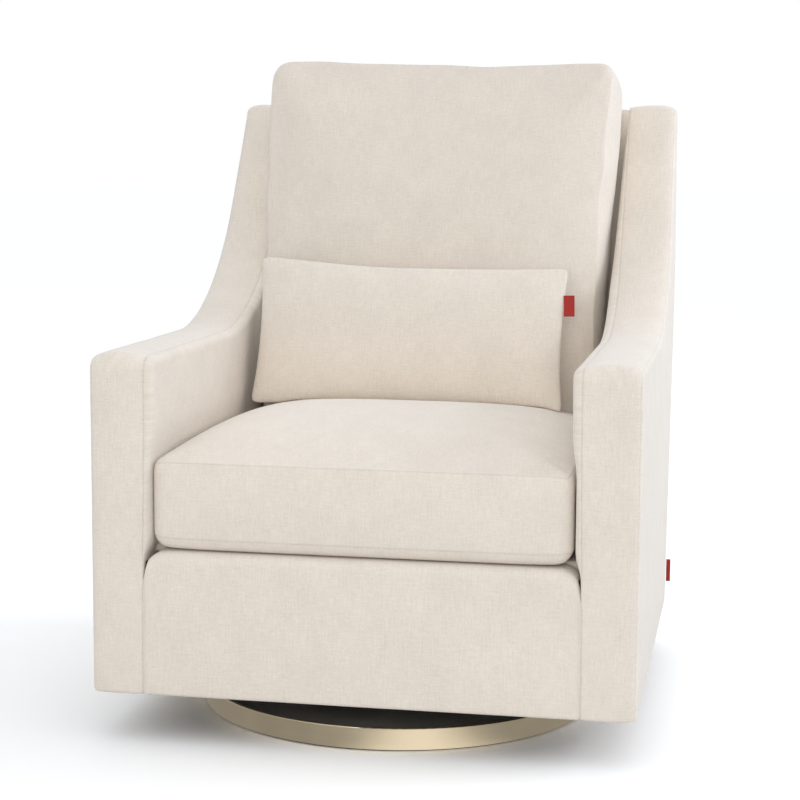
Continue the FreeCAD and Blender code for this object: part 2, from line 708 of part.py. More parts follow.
def carriage_plate():
    plate = box(-CARRIAGE_HALF_X, CARRIAGE_HALF_X, -CARRIAGE_HALF_Y, CARRIAGE_HALF_Y,
                CARRIAGE_FOOT_Z, CARRIAGE_TOP_Z)
    plate = plate.cut(post(BUSH_RADIUS, 0, 0, CARRIAGE_FOOT_Z, CARRIAGE_TOP_Z))
    for x, y in race_bolt_places(90 - RACE_BOLT_ANGLE):
        plate = plate.cut(post(RACE_BOLT_RADIUS, x, y, CARRIAGE_FOOT_Z, CARRIAGE_TOP_Z))
    return plate


def carriage_bolts():
    bolts = []
    for x, y in race_bolt_places(90 - RACE_BOLT_ANGLE):
        shank = post(RACE_BOLT_RADIUS, x, y, CARRIAGE_FOOT_Z - RACE_BOLT_HEAD, CARRIAGE_TOP_Z)
        head = post(RACE_BOLT_HEAD_RADIUS, x, y, CARRIAGE_TOP_Z, CARRIAGE_TOP_Z + RACE_BOLT_HEAD)
        bolts.append(shank.fuse(head).removeSplitter())
    return Part.makeCompound(bolts)


def king_bush():
    """Flanged bush in the carriage plate, which turns on the king bolt."""
    foot = CARRIAGE_FOOT_Z - BUSH_DROP
    sleeve = ring(BUSH_RADIUS, KING_RADIUS + RUNNING_CLEARANCE, foot, BUSH_TOP_Z)
    flange = ring(KING_WASHER_RADIUS, KING_RADIUS + RUNNING_CLEARANCE, CARRIAGE_TOP_Z, BUSH_TOP_Z)
    return sleeve.fuse(flange).removeSplitter()


def pivot_cheek(side):
    """Upright plate on the carriage that carries one rock pivot pin."""
    top = PIVOT_Z + CHEEK_HEAD_RADIUS
    outline = [
        (-CHEEK_FOOT / 2, CARRIAGE_TOP_Z, 0),
        (-CHEEK_HEAD_RADIUS, top, CHEEK_HEAD_RADIUS),
        (CHEEK_HEAD_RADIUS, top, CHEEK_HEAD_RADIUS),
        (CHEEK_FOOT / 2, CARRIAGE_TOP_Z, 0),
    ]
    x0 = side * CHEEK_INNER_X
    x1 = side * CHEEK_OUTER_X
    return prism_x(outline, x0, x1).cut(cross_pin(PIN_RADIUS, x0, x1, 0, PIVOT_Z))


def pivot_pins():
    pins = []
    for side in SIDES.values():
        end = RAIL_INNER_X + PIN_BUSH_LENGTH + PIN_END
        shank = cross_pin(PIN_RADIUS, side * CHEEK_INNER_X, side * end, 0, PIVOT_Z)
        head = cross_pin(PIN_HEAD_RADIUS, side * (CHEEK_INNER_X - PIN_HEAD), side * CHEEK_INNER_X, 0, PIVOT_Z)
        pins.append(shank.fuse(head).removeSplitter())
    return Part.makeCompound(pins)


def pivot_bushes():
    """Flanged bushes in the rocker rails, which turn on the pivot pins."""
    bushes = []
    for side in SIDES.values():
        flange_x = side * (RAIL_INNER_X - PIN_BUSH_FLANGE)
        start = side * RAIL_INNER_X
        end = side * (RAIL_INNER_X + PIN_BUSH_LENGTH)
        flange = cross_pin(PIN_BUSH_FLANGE_RADIUS, flange_x, start, 0, PIVOT_Z)
        sleeve = cross_pin(PIN_RADIUS + PIN_BUSH_WALL, flange_x, end, 0, PIVOT_Z)
        bore = cross_pin(PIN_RADIUS + RUNNING_CLEARANCE, flange_x, end, 0, PIVOT_Z)
        bushes.append(flange.fuse(sleeve).removeSplitter().cut(bore))
    return Part.makeCompound(bushes)


def rocker_rail(side):
    """Angle-section rail that hangs on a pivot pin and carries the two mount boards."""
    outline = [
        (-RAIL_HALF_LENGTH, FLANGE_FOOT_Z, 0),
        (RAIL_HALF_LENGTH, FLANGE_FOOT_Z, 0),
        (RAIL_HALF_LENGTH, FLANGE_FOOT_Z - RAIL_END_DEPTH, 0),
        (RAIL_HUB_RADIUS, PIVOT_Z - RAIL_HUB_RADIUS, RAIL_HUB_RADIUS / 2),
        (-RAIL_HUB_RADIUS, PIVOT_Z - RAIL_HUB_RADIUS, RAIL_HUB_RADIUS / 2),
        (-RAIL_HALF_LENGTH, FLANGE_FOOT_Z - RAIL_END_DEPTH, 0),
    ]
    web = prism_x(outline, side * RAIL_INNER_X, side * RAIL_OUTER_X)
    flange = box(side * RAIL_INNER_X, side * (RAIL_OUTER_X + RAIL_FLANGE_WIDTH),
                 -RAIL_HALF_LENGTH, RAIL_HALF_LENGTH, FLANGE_FOOT_Z, BOARD_FOOT_Z)
    rail = web.fuse(flange).removeSplitter()
    bush_radius = PIN_RADIUS + PIN_BUSH_WALL
    rail = rail.cut(cross_pin(bush_radius, side * RAIL_INNER_X, side * RAIL_OUTER_X, 0, PIVOT_Z))
    for end in ENDS.values():
        for x, y in mount_bolt_places(end):
            rail = rail.cut(post(MOUNT_BOLT_RADIUS, x, y, FLANGE_FOOT_Z, BOARD_FOOT_Z))
    return rail


def spring_bridge(end):
    """Bar between the rocker rails that the two springs of one end push against."""
    middle = end * BRIDGE_Y
    return box(-RAIL_INNER_X, RAIL_INNER_X, middle - BRIDGE_WIDTH / 2, middle + BRIDGE_WIDTH / 2,
               BRIDGE_FOOT_Z, FLANGE_FOOT_Z)


def spring_places():
    return [(side * SPRING_X, end * BRIDGE_Y) for side in SIDES.values() for end in ENDS.values()]


def spigot_radius():
    return SPRING_RADIUS - SPRING_WIRE_RADIUS - SPRING_CLEARANCE


def lower_spring_cups():
    cups = []
    for x, y in spring_places():
        disc = post(CUP_RADIUS, x, y, CARRIAGE_TOP_Z, LOWER_CUP_TOP_Z)
        spigot = post(spigot_radius(), x, y, CARRIAGE_TOP_Z, LOWER_CUP_TOP_Z + CUP_SPIGOT)
        cups.append(disc.fuse(spigot).removeSplitter())
    return Part.makeCompound(cups)


def upper_spring_cups():
    cups = []
    for x, y in spring_places():
        disc = post(CUP_RADIUS, x, y, UPPER_CUP_FOOT_Z, BRIDGE_FOOT_Z)
        spigot = post(spigot_radius(), x, y, UPPER_CUP_FOOT_Z - CUP_SPIGOT, BRIDGE_FOOT_Z)
        cups.append(disc.fuse(spigot).removeSplitter())
    return Part.makeCompound(cups)


def tangent_arc(start, corner, end):
    """Arc from start to end that is tangent to both lines through the corner."""
    middle = (start + end) / 2
    half_chord = (end - start).Length / 2
    rise = corner - middle
    half_turn = math.atan2(rise.Length, half_chord)
    height = half_chord * math.tan(half_turn / 2)
    rise.normalize()
    return arc(start, middle + rise * height, end)


def biarc(start, start_way, end, end_way):
    """Two arcs that leave start and reach end along the given directions."""
    gap = end - start
    ways = start_way + end_way
    a = 2 * (start_way.dot(end_way) - 1)
    b = -2 * gap.dot(ways)
    c = gap.dot(gap)
    reach = (-b - math.sqrt(b * b - 4 * a * c)) / (2 * a)
    first_corner = start + start_way * reach
    last_corner = end - end_way * reach
    joint = (first_corner + last_corner) / 2
    return [tangent_arc(start, first_corner, joint), tangent_arc(joint, last_corner, end)]


def helix_point(turn, foot_z, rise):
    angle = 2 * math.pi * turn
    return Vector(SPRING_RADIUS * math.cos(angle), SPRING_RADIUS * math.sin(angle), foot_z + rise * turn)


def helix_way(turn, rise):
    angle = 2 * math.pi * turn
    way = Vector(-SPRING_RADIUS * math.sin(angle), SPRING_RADIUS * math.cos(angle), rise / (2 * math.pi))
    way.normalize()
    return way


def rocker_spring():
    """One coil spring of round wire, as a single tube wound between its two cups."""
    foot_z = LOWER_CUP_TOP_Z + SPRING_CLEARANCE + SPRING_WIRE_RADIUS
    head_z = UPPER_CUP_FOOT_Z - SPRING_CLEARANCE - SPRING_WIRE_RADIUS
    rise = (head_z - foot_z) / SPRING_TURNS
    steps = int(round(SPRING_TURNS * 4))
    path = []
    for i in range(steps):
        a = i / 4
        b = a + 1 / 4
        path += biarc(helix_point(a, foot_z, rise), helix_way(a, rise), helix_point(b, foot_z, rise),
                      helix_way(b, rise))
    section = Part.Wire(Part.makeCircle(SPRING_WIRE_RADIUS, helix_point(0, foot_z, rise), helix_way(0, rise)))
    print("least gap between turns of a rocker spring:", round(least_turn_gap(foot_z, rise), 2))
    return Part.Wire(path).makePipeShell([section], True, False)


def least_turn_gap(foot_z, rise):
    """Least space between the wire and itself, measured on points along the coil."""
    half_turn = 12
    turn = 2 * half_turn
    points = [helix_point(i / turn, foot_z, rise) for i in range(int(SPRING_TURNS * turn))]
    gaps = []
    for i, point in enumerate(points):
        gaps += [(point - other).Length for other in points[i + half_turn:]]
    least = min(gaps)
    return least - 2 * SPRING_WIRE_RADIUS


def rocker_springs():
    spring = rocker_spring()
    springs = []
    for x, y in spring_places():
        copy = spring.copy()
        copy.translate(Vector(x, y, 0))
        springs.append(copy)
    return Part.makeCompound(springs)


def stop_top(angle):
    """Height of a stop's flat top, where the tilted mount board just meets its outer edge."""
    tilt = math.radians(angle)
    outer_y = STOP_Y + STOP_PAD_RADIUS
    height = (BOARD_FOOT_Z - PIVOT_Z - outer_y * math.sin(tilt)) / math.cos(tilt)
    return PIVOT_Z + height - STOP_CLEARANCE


def stop_places():
    places = []
    for end, angle in ((ENDS["front"], ROCK_FORWARD), (ENDS["rear"], ROCK_BACK)):
        for side in SIDES.values():
            places.append((side * STOP_X, end * STOP_Y, stop_top(angle)))
    return places


def stop_posts():
    return Part.makeCompound([post(STOP_POST_RADIUS, x, y, CARRIAGE_TOP_Z, top - STOP_PAD)
                              for x, y, top in stop_places()])


def stop_pads():
    return Part.makeCompound([post(STOP_PAD_RADIUS, x, y, top - STOP_PAD, top)
                              for x, y, top in stop_places()])


def stations(half_width, end_round):
    """Places across a cushion, each with how far its outline draws in there."""
    half = []
    for angle in CUSHION_END_ANGLES:
        a = math.radians(angle)
        half.append((half_width - end_round + end_round * math.sin(a), end_round * (1 - math.cos(a))))
    for share in CUSHION_STATIONS:
        half.append(((half_width - end_round) * share, 0.0))
    left = [(-x, draw) for x, draw in half]
    right = [(x, draw) for x, draw in reversed(half)]
    return left + [(0.0, 0.0)] + right


def fullness(x, half_width):
    return 1 - abs(x / half_width) ** CUSHION_SQUARENESS


def border_section(x, v0, v1, t0, t1, crown, corner):
    """Outline of a bordered cushion at x: flat foot, upright borders and a crowned top."""
    def at(v, t):
        return Vector(x, v, t)

    bend = corner * (1 - math.sqrt(0.5))
    return Part.Wire([
        line(at(v0 + corner, t0), at(v1 - corner, t0)),
        arc(at(v1 - corner, t0), at(v1 - bend, t0 + bend), at(v1, t0 + corner)),
        line(at(v1, t0 + corner), at(v1, t1 - corner)),
        arc(at(v1, t1 - corner), at(v1 - bend, t1 - bend), at(v1 - corner, t1)),
        arc(at(v1 - corner, t1), at((v0 + v1) / 2, t1 + crown), at(v0 + corner, t1)),
        arc(at(v0 + corner, t1), at(v0 + bend, t1 - bend), at(v0, t1 - corner)),
        line(at(v0, t1 - corner), at(v0, t0 + corner)),
        arc(at(v0, t0 + corner), at(v0 + bend, t0 + bend), at(v0 + corner, t0)),
    ])


def bordered_cushion(v0, v1, border, crown, bow, dip, corner):
    """Cushion with a crowned face and drawn-in ends: bow fills out v0, and dip hollows v1."""
    end_round = corner * CUSHION_END_ROUND
    outlines = []
    for x, draw in stations(SOFT_HALF_WIDTH, end_round):
        full = fullness(x, SOFT_HALF_WIDTH)
        outlines.append(border_section(x, v0 + draw - bow * full, v1 - draw - dip * full, draw, border - draw,
                                       max(crown * full, 1.0), corner - draw))
    return Part.makeLoft(outlines, True, False)


def seat_cushion():
    foot = Vector(0, 0, DECK_TOP_Z + SOFT_CLEARANCE)
    cushion = bordered_cushion(SEAT_FRONT_Y, SEAT_FRONT_Y + SEAT_DEPTH, SEAT_BORDER, SEAT_CROWN, SEAT_BOW, 0,
                               SEAT_CORNER)
    cushion.translate(foot)
    return cushion


def seat_top_z(y):
    """Height of the seat cushion's crown at mid-width."""
    v0 = SEAT_FRONT_Y - SEAT_BOW + SEAT_CORNER
    v1 = SEAT_FRONT_Y + SEAT_DEPTH - SEAT_CORNER
    half = (v1 - v0) / 2
    radius = (half ** 2 + SEAT_CROWN ** 2) / (2 * SEAT_CROWN)
    drop = radius - math.sqrt(radius ** 2 - (y - (v0 + v1) / 2) ** 2)
    return DECK_TOP_Z + SOFT_CLEARANCE + SEAT_BORDER + SEAT_CROWN - drop


def back_cushion():
    """Back cushion: its foot stands on the deck, and its rear face lies along the leaning back."""
    rear_w = BACK_FACE_W - SOFT_CLEARANCE
    foot_z = DECK_TOP_Z + SOFT_CLEARANCE
    centre_w = rear_w - BACK_CUSHION_CORNER
    centre_z = foot_z + BACK_CUSHION_CORNER
    foot_v = (centre_z - BODY_FOOT_Z + centre_w * LEAN_SIN) / LEAN_COS - BACK_CUSHION_CORNER
    cushion = bordered_cushion(foot_v, BACK_CUSHION_TOP, BACK_CUSHION_BORDER, BACK_CUSHION_CROWN, 0,
                               BACK_CUSHION_DIP, BACK_CUSHION_CORNER)
    base = Vector(0, BODY_FOOT_Y + rear_w * LEAN_COS, BODY_FOOT_Z - rear_w * LEAN_SIN)
    cushion.Placement = Placement(base, Rotation(Vector(1, 0, 0), 90 - BACK_LEAN))
    return cushion


def pillow_placement():
    foot_z = seat_top_z(PILLOW_FOOT_Y) + SOFT_CLEARANCE
    foot = Vector(PILLOW_CENTRE_X, PILLOW_FOOT_Y, foot_z)
    return Placement(foot, Rotation(Vector(1, 0, 0), 90 - PILLOW_LEAN))


def pillow_section(x):
    """Lens outline of the knife-edged pillow at x, with ears towards its corners."""
    half_width = PILLOW_WIDTH / 2
    full = fullness(x, half_width)
    ear = PILLOW_EAR / 2 * (1 - full)
    rise = PILLOW_EDGE / 2 + (PILLOW_THICKNESS - PILLOW_EDGE) / 2 * full
    low = Vector(x, -ear, 0)
    high = Vector(x, PILLOW_HEIGHT + ear, 0)
    front = Vector(x, PILLOW_HEIGHT / 2, rise)
    rear = Vector(x, PILLOW_HEIGHT / 2, -rise)
    return Part.Wire([arc(low, front, high), arc(high, rear, low)])


def lumbar_pillow():
    outlines = [pillow_section(x) for x, _ in stations(PILLOW_WIDTH / 2, PILLOW_END_ROUND)]
    pillow = Part.makeLoft(outlines, True, False)
    pillow.Placement = pillow_placement()
    return pillow


def pillow_tab():
    """Small blank woven tab sewn into the pillow's right edge."""
    edge = PILLOW_WIDTH / 2
    tab = box(edge, edge + PILLOW_TAB_WIDTH, PILLOW_TAB_FOOT, PILLOW_TAB_FOOT + PILLOW_TAB_HEIGHT,
              -TAB_THICKNESS / 2, TAB_THICKNESS / 2)
    tab.Placement = pillow_placement()
    return tab


def side_tab():
    """Small blank woven tab on the body's right side, near the rear edge."""
    back_w = -SIDE_TAB_INSET
    return lean_box(OUTER_X, OUTER_X + TAB_THICKNESS, back_w - SIDE_TAB_WIDTH, back_w,
                    SIDE_TAB_FOOT, SIDE_TAB_FOOT + SIDE_TAB_HEIGHT)


def base_nodes():
    return {
        "floor_pad_ring": floor_pad_ring(),
        "base_ring": base_ring(),
        "base_plate": base_plate(),
        "base_bars": base_bars(),
        "lower_race": lower_race(),
        "base_bolts": base_bolts(),
        "king_bolt": king_bolt(),
        "king_nut_and_washer": king_nut_and_washer(),
        "ball_cage": ball_cage(),
        "bearing_balls": bearing_balls(),
    }


def carriage_nodes():
    nodes = {
        "upper_race": upper_race(),
        "carriage_plate": carriage_plate(),
        "carriage_bolts": carriage_bolts(),
        "king_bush": king_bush(),
        "pivot_pins": pivot_pins(),
        "lower_spring_cups": lower_spring_cups(),
        "stop_posts": stop_posts(),
        "stop_pads": stop_pads(),
    }
    for name, side in SIDES.items():
        nodes["pivot_cheek_" + name] = pivot_cheek(side)
    return nodes


def rocker_nodes():
    nodes = {
        "pivot_bushes": pivot_bushes(),
        "upper_spring_cups": upper_spring_cups(),
        "rocker_springs": rocker_springs(),
        "mount_bolts": mount_bolts(),
    }
    for name, side in SIDES.items():
        nodes["rocker_rail_" + name] = rocker_rail(side)
    for name, end in ENDS.items():
        nodes["spring_bridge_" + name] = spring_bridge(end)
        nodes["mount_board_" + name] = mount_board(end)
    return nodes


def frame_nodes():
    nodes = {
        "front_rail": front_rail(),
        "rear_rail": rear_rail(),
        "corner_blocks": corner_blocks(),
        "back_foot_rail": back_rail(BACK_FRAME_FOOT, BACK_FOOT_RAIL_HEIGHT),
        "back_top_rail": back_rail(BACK_WOOD_TOP_V - BACK_RAIL_HEIGHT, BACK_RAIL_HEIGHT),
        "back_webbing": back_webbing(),
        "seat_springs": seat_springs(),
        "spring_clips": spring_clips(),
    }
    for name, side in SIDES.items():
        nodes["arm_panels_" + name] = arm_panels(side)
        nodes["arm_battens_" + name] = arm_battens(side)
        nodes["back_post_" + name] = back_post(side)
    return nodes


def cover_nodes():
    nodes = {
        "front_rail_cover": front_rail_cover(),
        "inside_back_pad": inside_back_pad(),
        "outside_back_cover": outside_back_cover(),
        "deck_pad": deck_pad(),
        "side_tab": side_tab(),
    }
    for name, side in SIDES.items():
        nodes["arm_cover_" + name] = arm_cover(side)
        nodes["arm_inner_pad_" + name] = arm_inner_pad(side)
        nodes["dust_cover_" + name] = dust_cover(side)
    return nodes


def cushion_nodes():
    return {
        "seat_cushion": seat_cushion(),
        "back_cushion": back_cushion(),
        "lumbar_pillow": lumbar_pillow(),
        "pillow_tab": pillow_tab(),
    }


def main():
    os.makedirs("parts", exist_ok=True)
    nodes = {}
    for group in (base_nodes, carriage_nodes, rocker_nodes, frame_nodes, cover_nodes, cushion_nodes):
        nodes.update(group())
    for name, shape in nodes.items():
        shape.exportStep("parts/" + name + ".step")
        bounds = shape.BoundBox
        print(name, "solids", len(shape.Solids), "valid", shape.isValid(), "volume", round(shape.Volume),
              "x", round(bounds.XMin, 1), round(bounds.XMax, 1), "y", round(bounds.YMin, 1),
              round(bounds.YMax, 1), "z", round(bounds.ZMin, 1), round(bounds.ZMax, 1))


main()
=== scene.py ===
# %% [markdown]
# # A swivel rocker, dressed for the photograph
# The measured frame of this armchair comes from a CAD program: plates, rails, bearing and springs, and plain
# solids where the upholstery is. This lesson keeps the hard parts as they are, gives every one a finish, and
# builds the soft parts again as fabric over foam. Blender works in metres, in the CAD's own frame: X is to the
# right as seen from the front, Y is to the rear, Z is up, and the floor is z = 0.

# %% Load the frame
import json
import math

import bmesh
import bpy
import numpy as np
from mathutils import Matrix, Vector
from mathutils.geometry import delaunay_2d_cdt


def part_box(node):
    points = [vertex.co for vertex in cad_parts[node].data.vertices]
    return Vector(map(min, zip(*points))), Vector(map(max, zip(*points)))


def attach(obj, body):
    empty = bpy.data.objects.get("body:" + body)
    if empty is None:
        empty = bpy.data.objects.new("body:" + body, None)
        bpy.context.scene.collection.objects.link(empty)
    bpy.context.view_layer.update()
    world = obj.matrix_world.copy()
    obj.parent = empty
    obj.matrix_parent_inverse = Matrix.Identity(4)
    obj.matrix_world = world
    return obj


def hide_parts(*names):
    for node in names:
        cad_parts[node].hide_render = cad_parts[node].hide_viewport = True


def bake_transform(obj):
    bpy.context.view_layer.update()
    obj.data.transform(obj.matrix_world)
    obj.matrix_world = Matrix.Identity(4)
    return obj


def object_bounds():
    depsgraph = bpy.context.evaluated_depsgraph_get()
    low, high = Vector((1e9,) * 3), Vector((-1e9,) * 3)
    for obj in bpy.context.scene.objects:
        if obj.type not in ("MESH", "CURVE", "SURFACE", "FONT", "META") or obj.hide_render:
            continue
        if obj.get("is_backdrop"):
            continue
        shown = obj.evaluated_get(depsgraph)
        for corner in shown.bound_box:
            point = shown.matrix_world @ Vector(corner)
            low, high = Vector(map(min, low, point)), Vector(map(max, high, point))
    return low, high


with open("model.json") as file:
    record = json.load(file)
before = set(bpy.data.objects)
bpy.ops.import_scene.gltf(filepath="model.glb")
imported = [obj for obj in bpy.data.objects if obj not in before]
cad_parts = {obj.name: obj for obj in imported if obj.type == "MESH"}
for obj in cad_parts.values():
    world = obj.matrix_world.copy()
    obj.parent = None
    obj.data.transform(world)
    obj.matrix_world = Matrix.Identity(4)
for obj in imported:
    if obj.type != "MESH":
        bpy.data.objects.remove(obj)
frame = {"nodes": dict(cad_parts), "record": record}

scene = bpy.context.scene
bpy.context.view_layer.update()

# %% [markdown]
# ## The camera
# A product photograph is taken with a long lens from a few metres away, so that upright lines stay nearly
# upright. The place and the lens were found by matching the arm fronts, the ring and the wings of the chair.
# An object's Z axis points out of the back of a camera, so the aim is a quaternion that tracks -Z.

# %% Camera
CAMERA_PLACE = Vector((0.5191, -2.7839, 0.8043))
CAMERA_AIM = Vector((-0.0018, 0.0, 0.4434))
CAMERA_LENS = 87.21
CAMERA_ROLL = math.radians(0.38)

camera_data = bpy.data.cameras.new("camera")
camera_data.lens = CAMERA_LENS
camera_data.sensor_width = 36.0
camera = bpy.data.objects.new("camera", camera_data)
scene.collection.objects.link(camera)
camera.location = CAMERA_PLACE
aim = (CAMERA_AIM - CAMERA_PLACE).to_track_quat("-Z", "Y").to_matrix()
camera.rotation_euler = (aim @ Matrix.Rotation(CAMERA_ROLL, 3, "Z")).to_euler()
scene.camera = camera
print("camera is", round((CAMERA_AIM - CAMERA_PLACE).length, 3), "m from its aim")

# %% [markdown]
# ## Nodes without the clicking
# A material is a graph of nodes. In a script the graph is easiest to read when one short helper makes a node,
# sets its values and joins its inputs in the same line. Each keyword that is a node output becomes a link.

# %% A helper for node graphs
def add_node(tree, kind, inputs=None, **settings):
    node = tree.nodes.new(kind)
    for name, value in settings.items():
        setattr(node, name, value)
    for name, value in (inputs or {}).items():
        socket = node.inputs[name]
        if isinstance(value, bpy.types.NodeSocket):
            tree.links.new(value, socket)
        else:
            socket.default_value = value
    return node


def maths(tree, operation, *values):
    """The output of one Math node."""
    return add_node(tree, "ShaderNodeMath", dict(enumerate(values)), operation=operation).outputs[0]


def remap(tree, value, from_low, from_high, to_low, to_high, **settings):
    """A value carried over from one range to another."""
    return add_node(tree, "ShaderNodeMapRange", {"Value": value, "From Min": from_low, "From Max": from_high,
                                                 "To Min": to_low, "To Max": to_high}, **settings).outputs[0]


def noise(tree, place, size=1.0, detail=2.0, roughness=0.5):
    """A noise texture, as its grey output."""
    return add_node(tree, "ShaderNodeTexNoise", {"Vector": place, "Scale": size, "Detail": detail,
                                                 "Roughness": roughness}).outputs["Fac"]


def new_material(name):
    material = bpy.data.materials.new(name)
    material.use_nodes = True
    material.node_tree.nodes.clear()
    return material, material.node_tree

# %% [markdown]
# ## A white studio
# The chair stands on white paper that runs into a white backdrop. Cameras and mirrors see both as pure white,
# but the light that falls on the chair must not depend on that. Light Path tells these rays from the ones that
# carry light. Those meet a soft sky, bright overhead and dim near the ground, as under a large ceiling box,
# and the dim horizon is what makes the shadow under the chair deep. The floor works the same way: it is shown
# as a paper that reaches white wherever no shadow falls, and lights the chair as an ordinary pale one.

# %% World
def seen_directly(tree):
    """1 for rays from the camera, from reflections and through glass, and 0 for rays that carry light."""
    path = add_node(tree, "ShaderNodeLightPath").outputs
    reflected = maths(tree, "MAXIMUM", path["Is Camera Ray"], path["Is Glossy Ray"])
    return maths(tree, "MAXIMUM", reflected, path["Is Transmission Ray"])


def shown_as(tree, lit, shown):
    """Mixes what the chair is lit by with what is seen directly."""
    both = {0: seen_directly(tree), 1: lit.outputs[0], 2: shown.outputs[0]}
    return add_node(tree, "ShaderNodeMixShader", both).outputs[0]


SKY_LOW, SKY_RISE, SKY_COLOUR = 0.30, 0.92, (0.95, 0.985, 1.03, 1.0)
world = bpy.data.worlds.new("studio")
scene.world = world
world.use_nodes = True
tree = world.node_tree
tree.nodes.clear()
way = add_node(tree, "ShaderNodeSeparateXYZ", {0: add_node(tree, "ShaderNodeTexCoord").outputs["Object"]})
sky = remap(tree, way.outputs["Z"], 0.0, 1.0, SKY_LOW, SKY_LOW + SKY_RISE)
light = add_node(tree, "ShaderNodeBackground", {"Color": SKY_COLOUR, "Strength": sky})
white = add_node(tree, "ShaderNodeBackground", {"Color": (1.0, 1.0, 1.0, 1.0), "Strength": 1.0})
add_node(tree, "ShaderNodeOutputWorld", {"Surface": shown_as(tree, light, white)})
scene.view_settings.view_transform = "Standard"
print("sky from", SKY_LOW, "to", SKY_LOW + SKY_RISE)

# %% Floor
def on_the_ground(name, low, high, z, material):
    """A rectangle that belongs to the studio and not to the chair."""
    mesh = bpy.data.meshes.new(name)
    corners = [(low[0], low[1]), (high[0], low[1]), (high[0], high[1]), (low[0], high[1])]
    mesh.from_pydata([(*corner, z) for corner in corners], [], [(0, 1, 2, 3)])
    mesh.materials.append(material)
    plane = bpy.data.objects.new(name, mesh)
    scene.collection.objects.link(plane)
    plane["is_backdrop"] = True
    return plane


PAPER_LIT, PAPER_SHOWN = (0.8, 0.8, 0.8, 1.0), (1.145, 1.135, 1.12, 1.0)
FLOOR_HALF, FLOOR_DROP = 40.0, 0.0004
material, tree = new_material("floor_paper")
paper = add_node(tree, "ShaderNodeBsdfDiffuse", {"Color": PAPER_LIT})
shown = add_node(tree, "ShaderNodeBsdfDiffuse", {"Color": PAPER_SHOWN})
add_node(tree, "ShaderNodeOutputMaterial", {"Surface": shown_as(tree, paper, shown)})
floor = on_the_ground("floor", (-FLOOR_HALF, -FLOOR_HALF), (FLOOR_HALF, FLOOR_HALF), -FLOOR_DROP, material)
print("floor:", 2 * FLOOR_HALF, "m wide")

# %% [markdown]
# ## Lamps
# A soft box far on the right, low and a little behind the arms, makes that side the brightest without
# touching the fronts. A weaker one beside the camera opens the shade between the arms. A photographer keeps
# such a fill off the floor with a black flag, so that the shadow stays, and light linking does the same: the
# fill lights every object but the paper.

# %% Lamps
def soft_box(name, place, target, size, power, colour=(1.0, 1.0, 1.0)):
    data = bpy.data.lights.new(name, "AREA")
    data.shape = "SQUARE"
    data.size = size
    data.energy = power
    data.color = colour
    lamp = bpy.data.objects.new(name, data)
    scene.collection.objects.link(lamp)
    lamp.location = place
    lamp.rotation_euler = (Vector(target) - Vector(place)).to_track_quat("-Z", "Y").to_euler()
    return lamp


soft_box("right_window", (3.1, 0.9, 1.5), (0.0, 0.0, 0.4), 1.6, 42.0, (0.93, 0.975, 1.07))
fill = soft_box("front_fill", (0.3, -4.4, 1.35), (0.0, 0.0, 0.45), 2.0, 62.0, (1.02, 1.0, 0.97))
flagged = bpy.data.collections.new("kept_from_the_fill")
flagged.objects.link(floor)
fill.light_linking.receiver_collection = flagged
flagged.collection_objects[0].light_linking.link_state = "EXCLUDE"

# %% [markdown]
# ## A card for the ring
# A shiny ring shows only what lies around it, and between white paper and white walls it would look flat.
# Photographers lay a dark card on the paper, with a lighter place in it where the highlight should be. This
# card is seen by the metal alone: neither the camera nor the light that falls on the fabric meets it. Its glow
# falls off smoothly on both sides of a line that runs from the ring towards the lamp.

# %% Card on the paper
GLOW_FOOT, GLOW_SLANT, GLOW_REACH = (0.1, -0.29), 0.35, 0.165
GLOW_LOW, GLOW_HIGH, GLOW_COLOUR = 0.31, 1.12, (1.0, 0.985, 0.96, 1.0)
CARD_LOW, CARD_HIGH = (-1.4, -1.8), (1.4, 1.2)
material, tree = new_material("graded_card")
spot = add_node(tree, "ShaderNodeTexCoord").outputs["Object"]
spot = add_node(tree, "ShaderNodeSeparateXYZ", {0: spot}).outputs
slanted = maths(tree, "MULTIPLY_ADD", spot["Y"], GLOW_SLANT, spot["X"])
aside = maths(tree, "SUBTRACT", slanted, GLOW_FOOT[0] + GLOW_SLANT * GLOW_FOOT[1])
power = remap(tree, maths(tree, "ABSOLUTE", aside), 0.0, GLOW_REACH, GLOW_HIGH, GLOW_LOW,
              interpolation_type="SMOOTHSTEP")
glow = add_node(tree, "ShaderNodeEmission", {"Color": GLOW_COLOUR, "Strength": power})
add_node(tree, "ShaderNodeOutputMaterial", {"Surface": glow.outputs[0]})
card = on_the_ground("graded_card", CARD_LOW, CARD_HIGH, 0.0, material)
card.visible_camera = card.visible_diffuse = card.visible_shadow = False
print("card glows from", GLOW_LOW, "to", GLOW_HIGH)

# %% [markdown]
# ## Cream fabric
# The cover is a heavy linen-look weave: fine threads both ways, some of them thicker for a few centimetres.
# Those thick places are called slubs, and they are what the eye sees from two metres away. A weave follows the
# cloth and not the room, so the pattern reads a UV map that is laid out in metres, one island for each panel.
# Stretched noises make the slubs, two waves make the threads, and a Bump node lifts them. The seam
# attribute darkens the cloth a little where two panels are sewn together: partly the thread, and partly
# painted shade in the seam's groove.

# %% Fabric material
SEAM_SHADE = 0.84


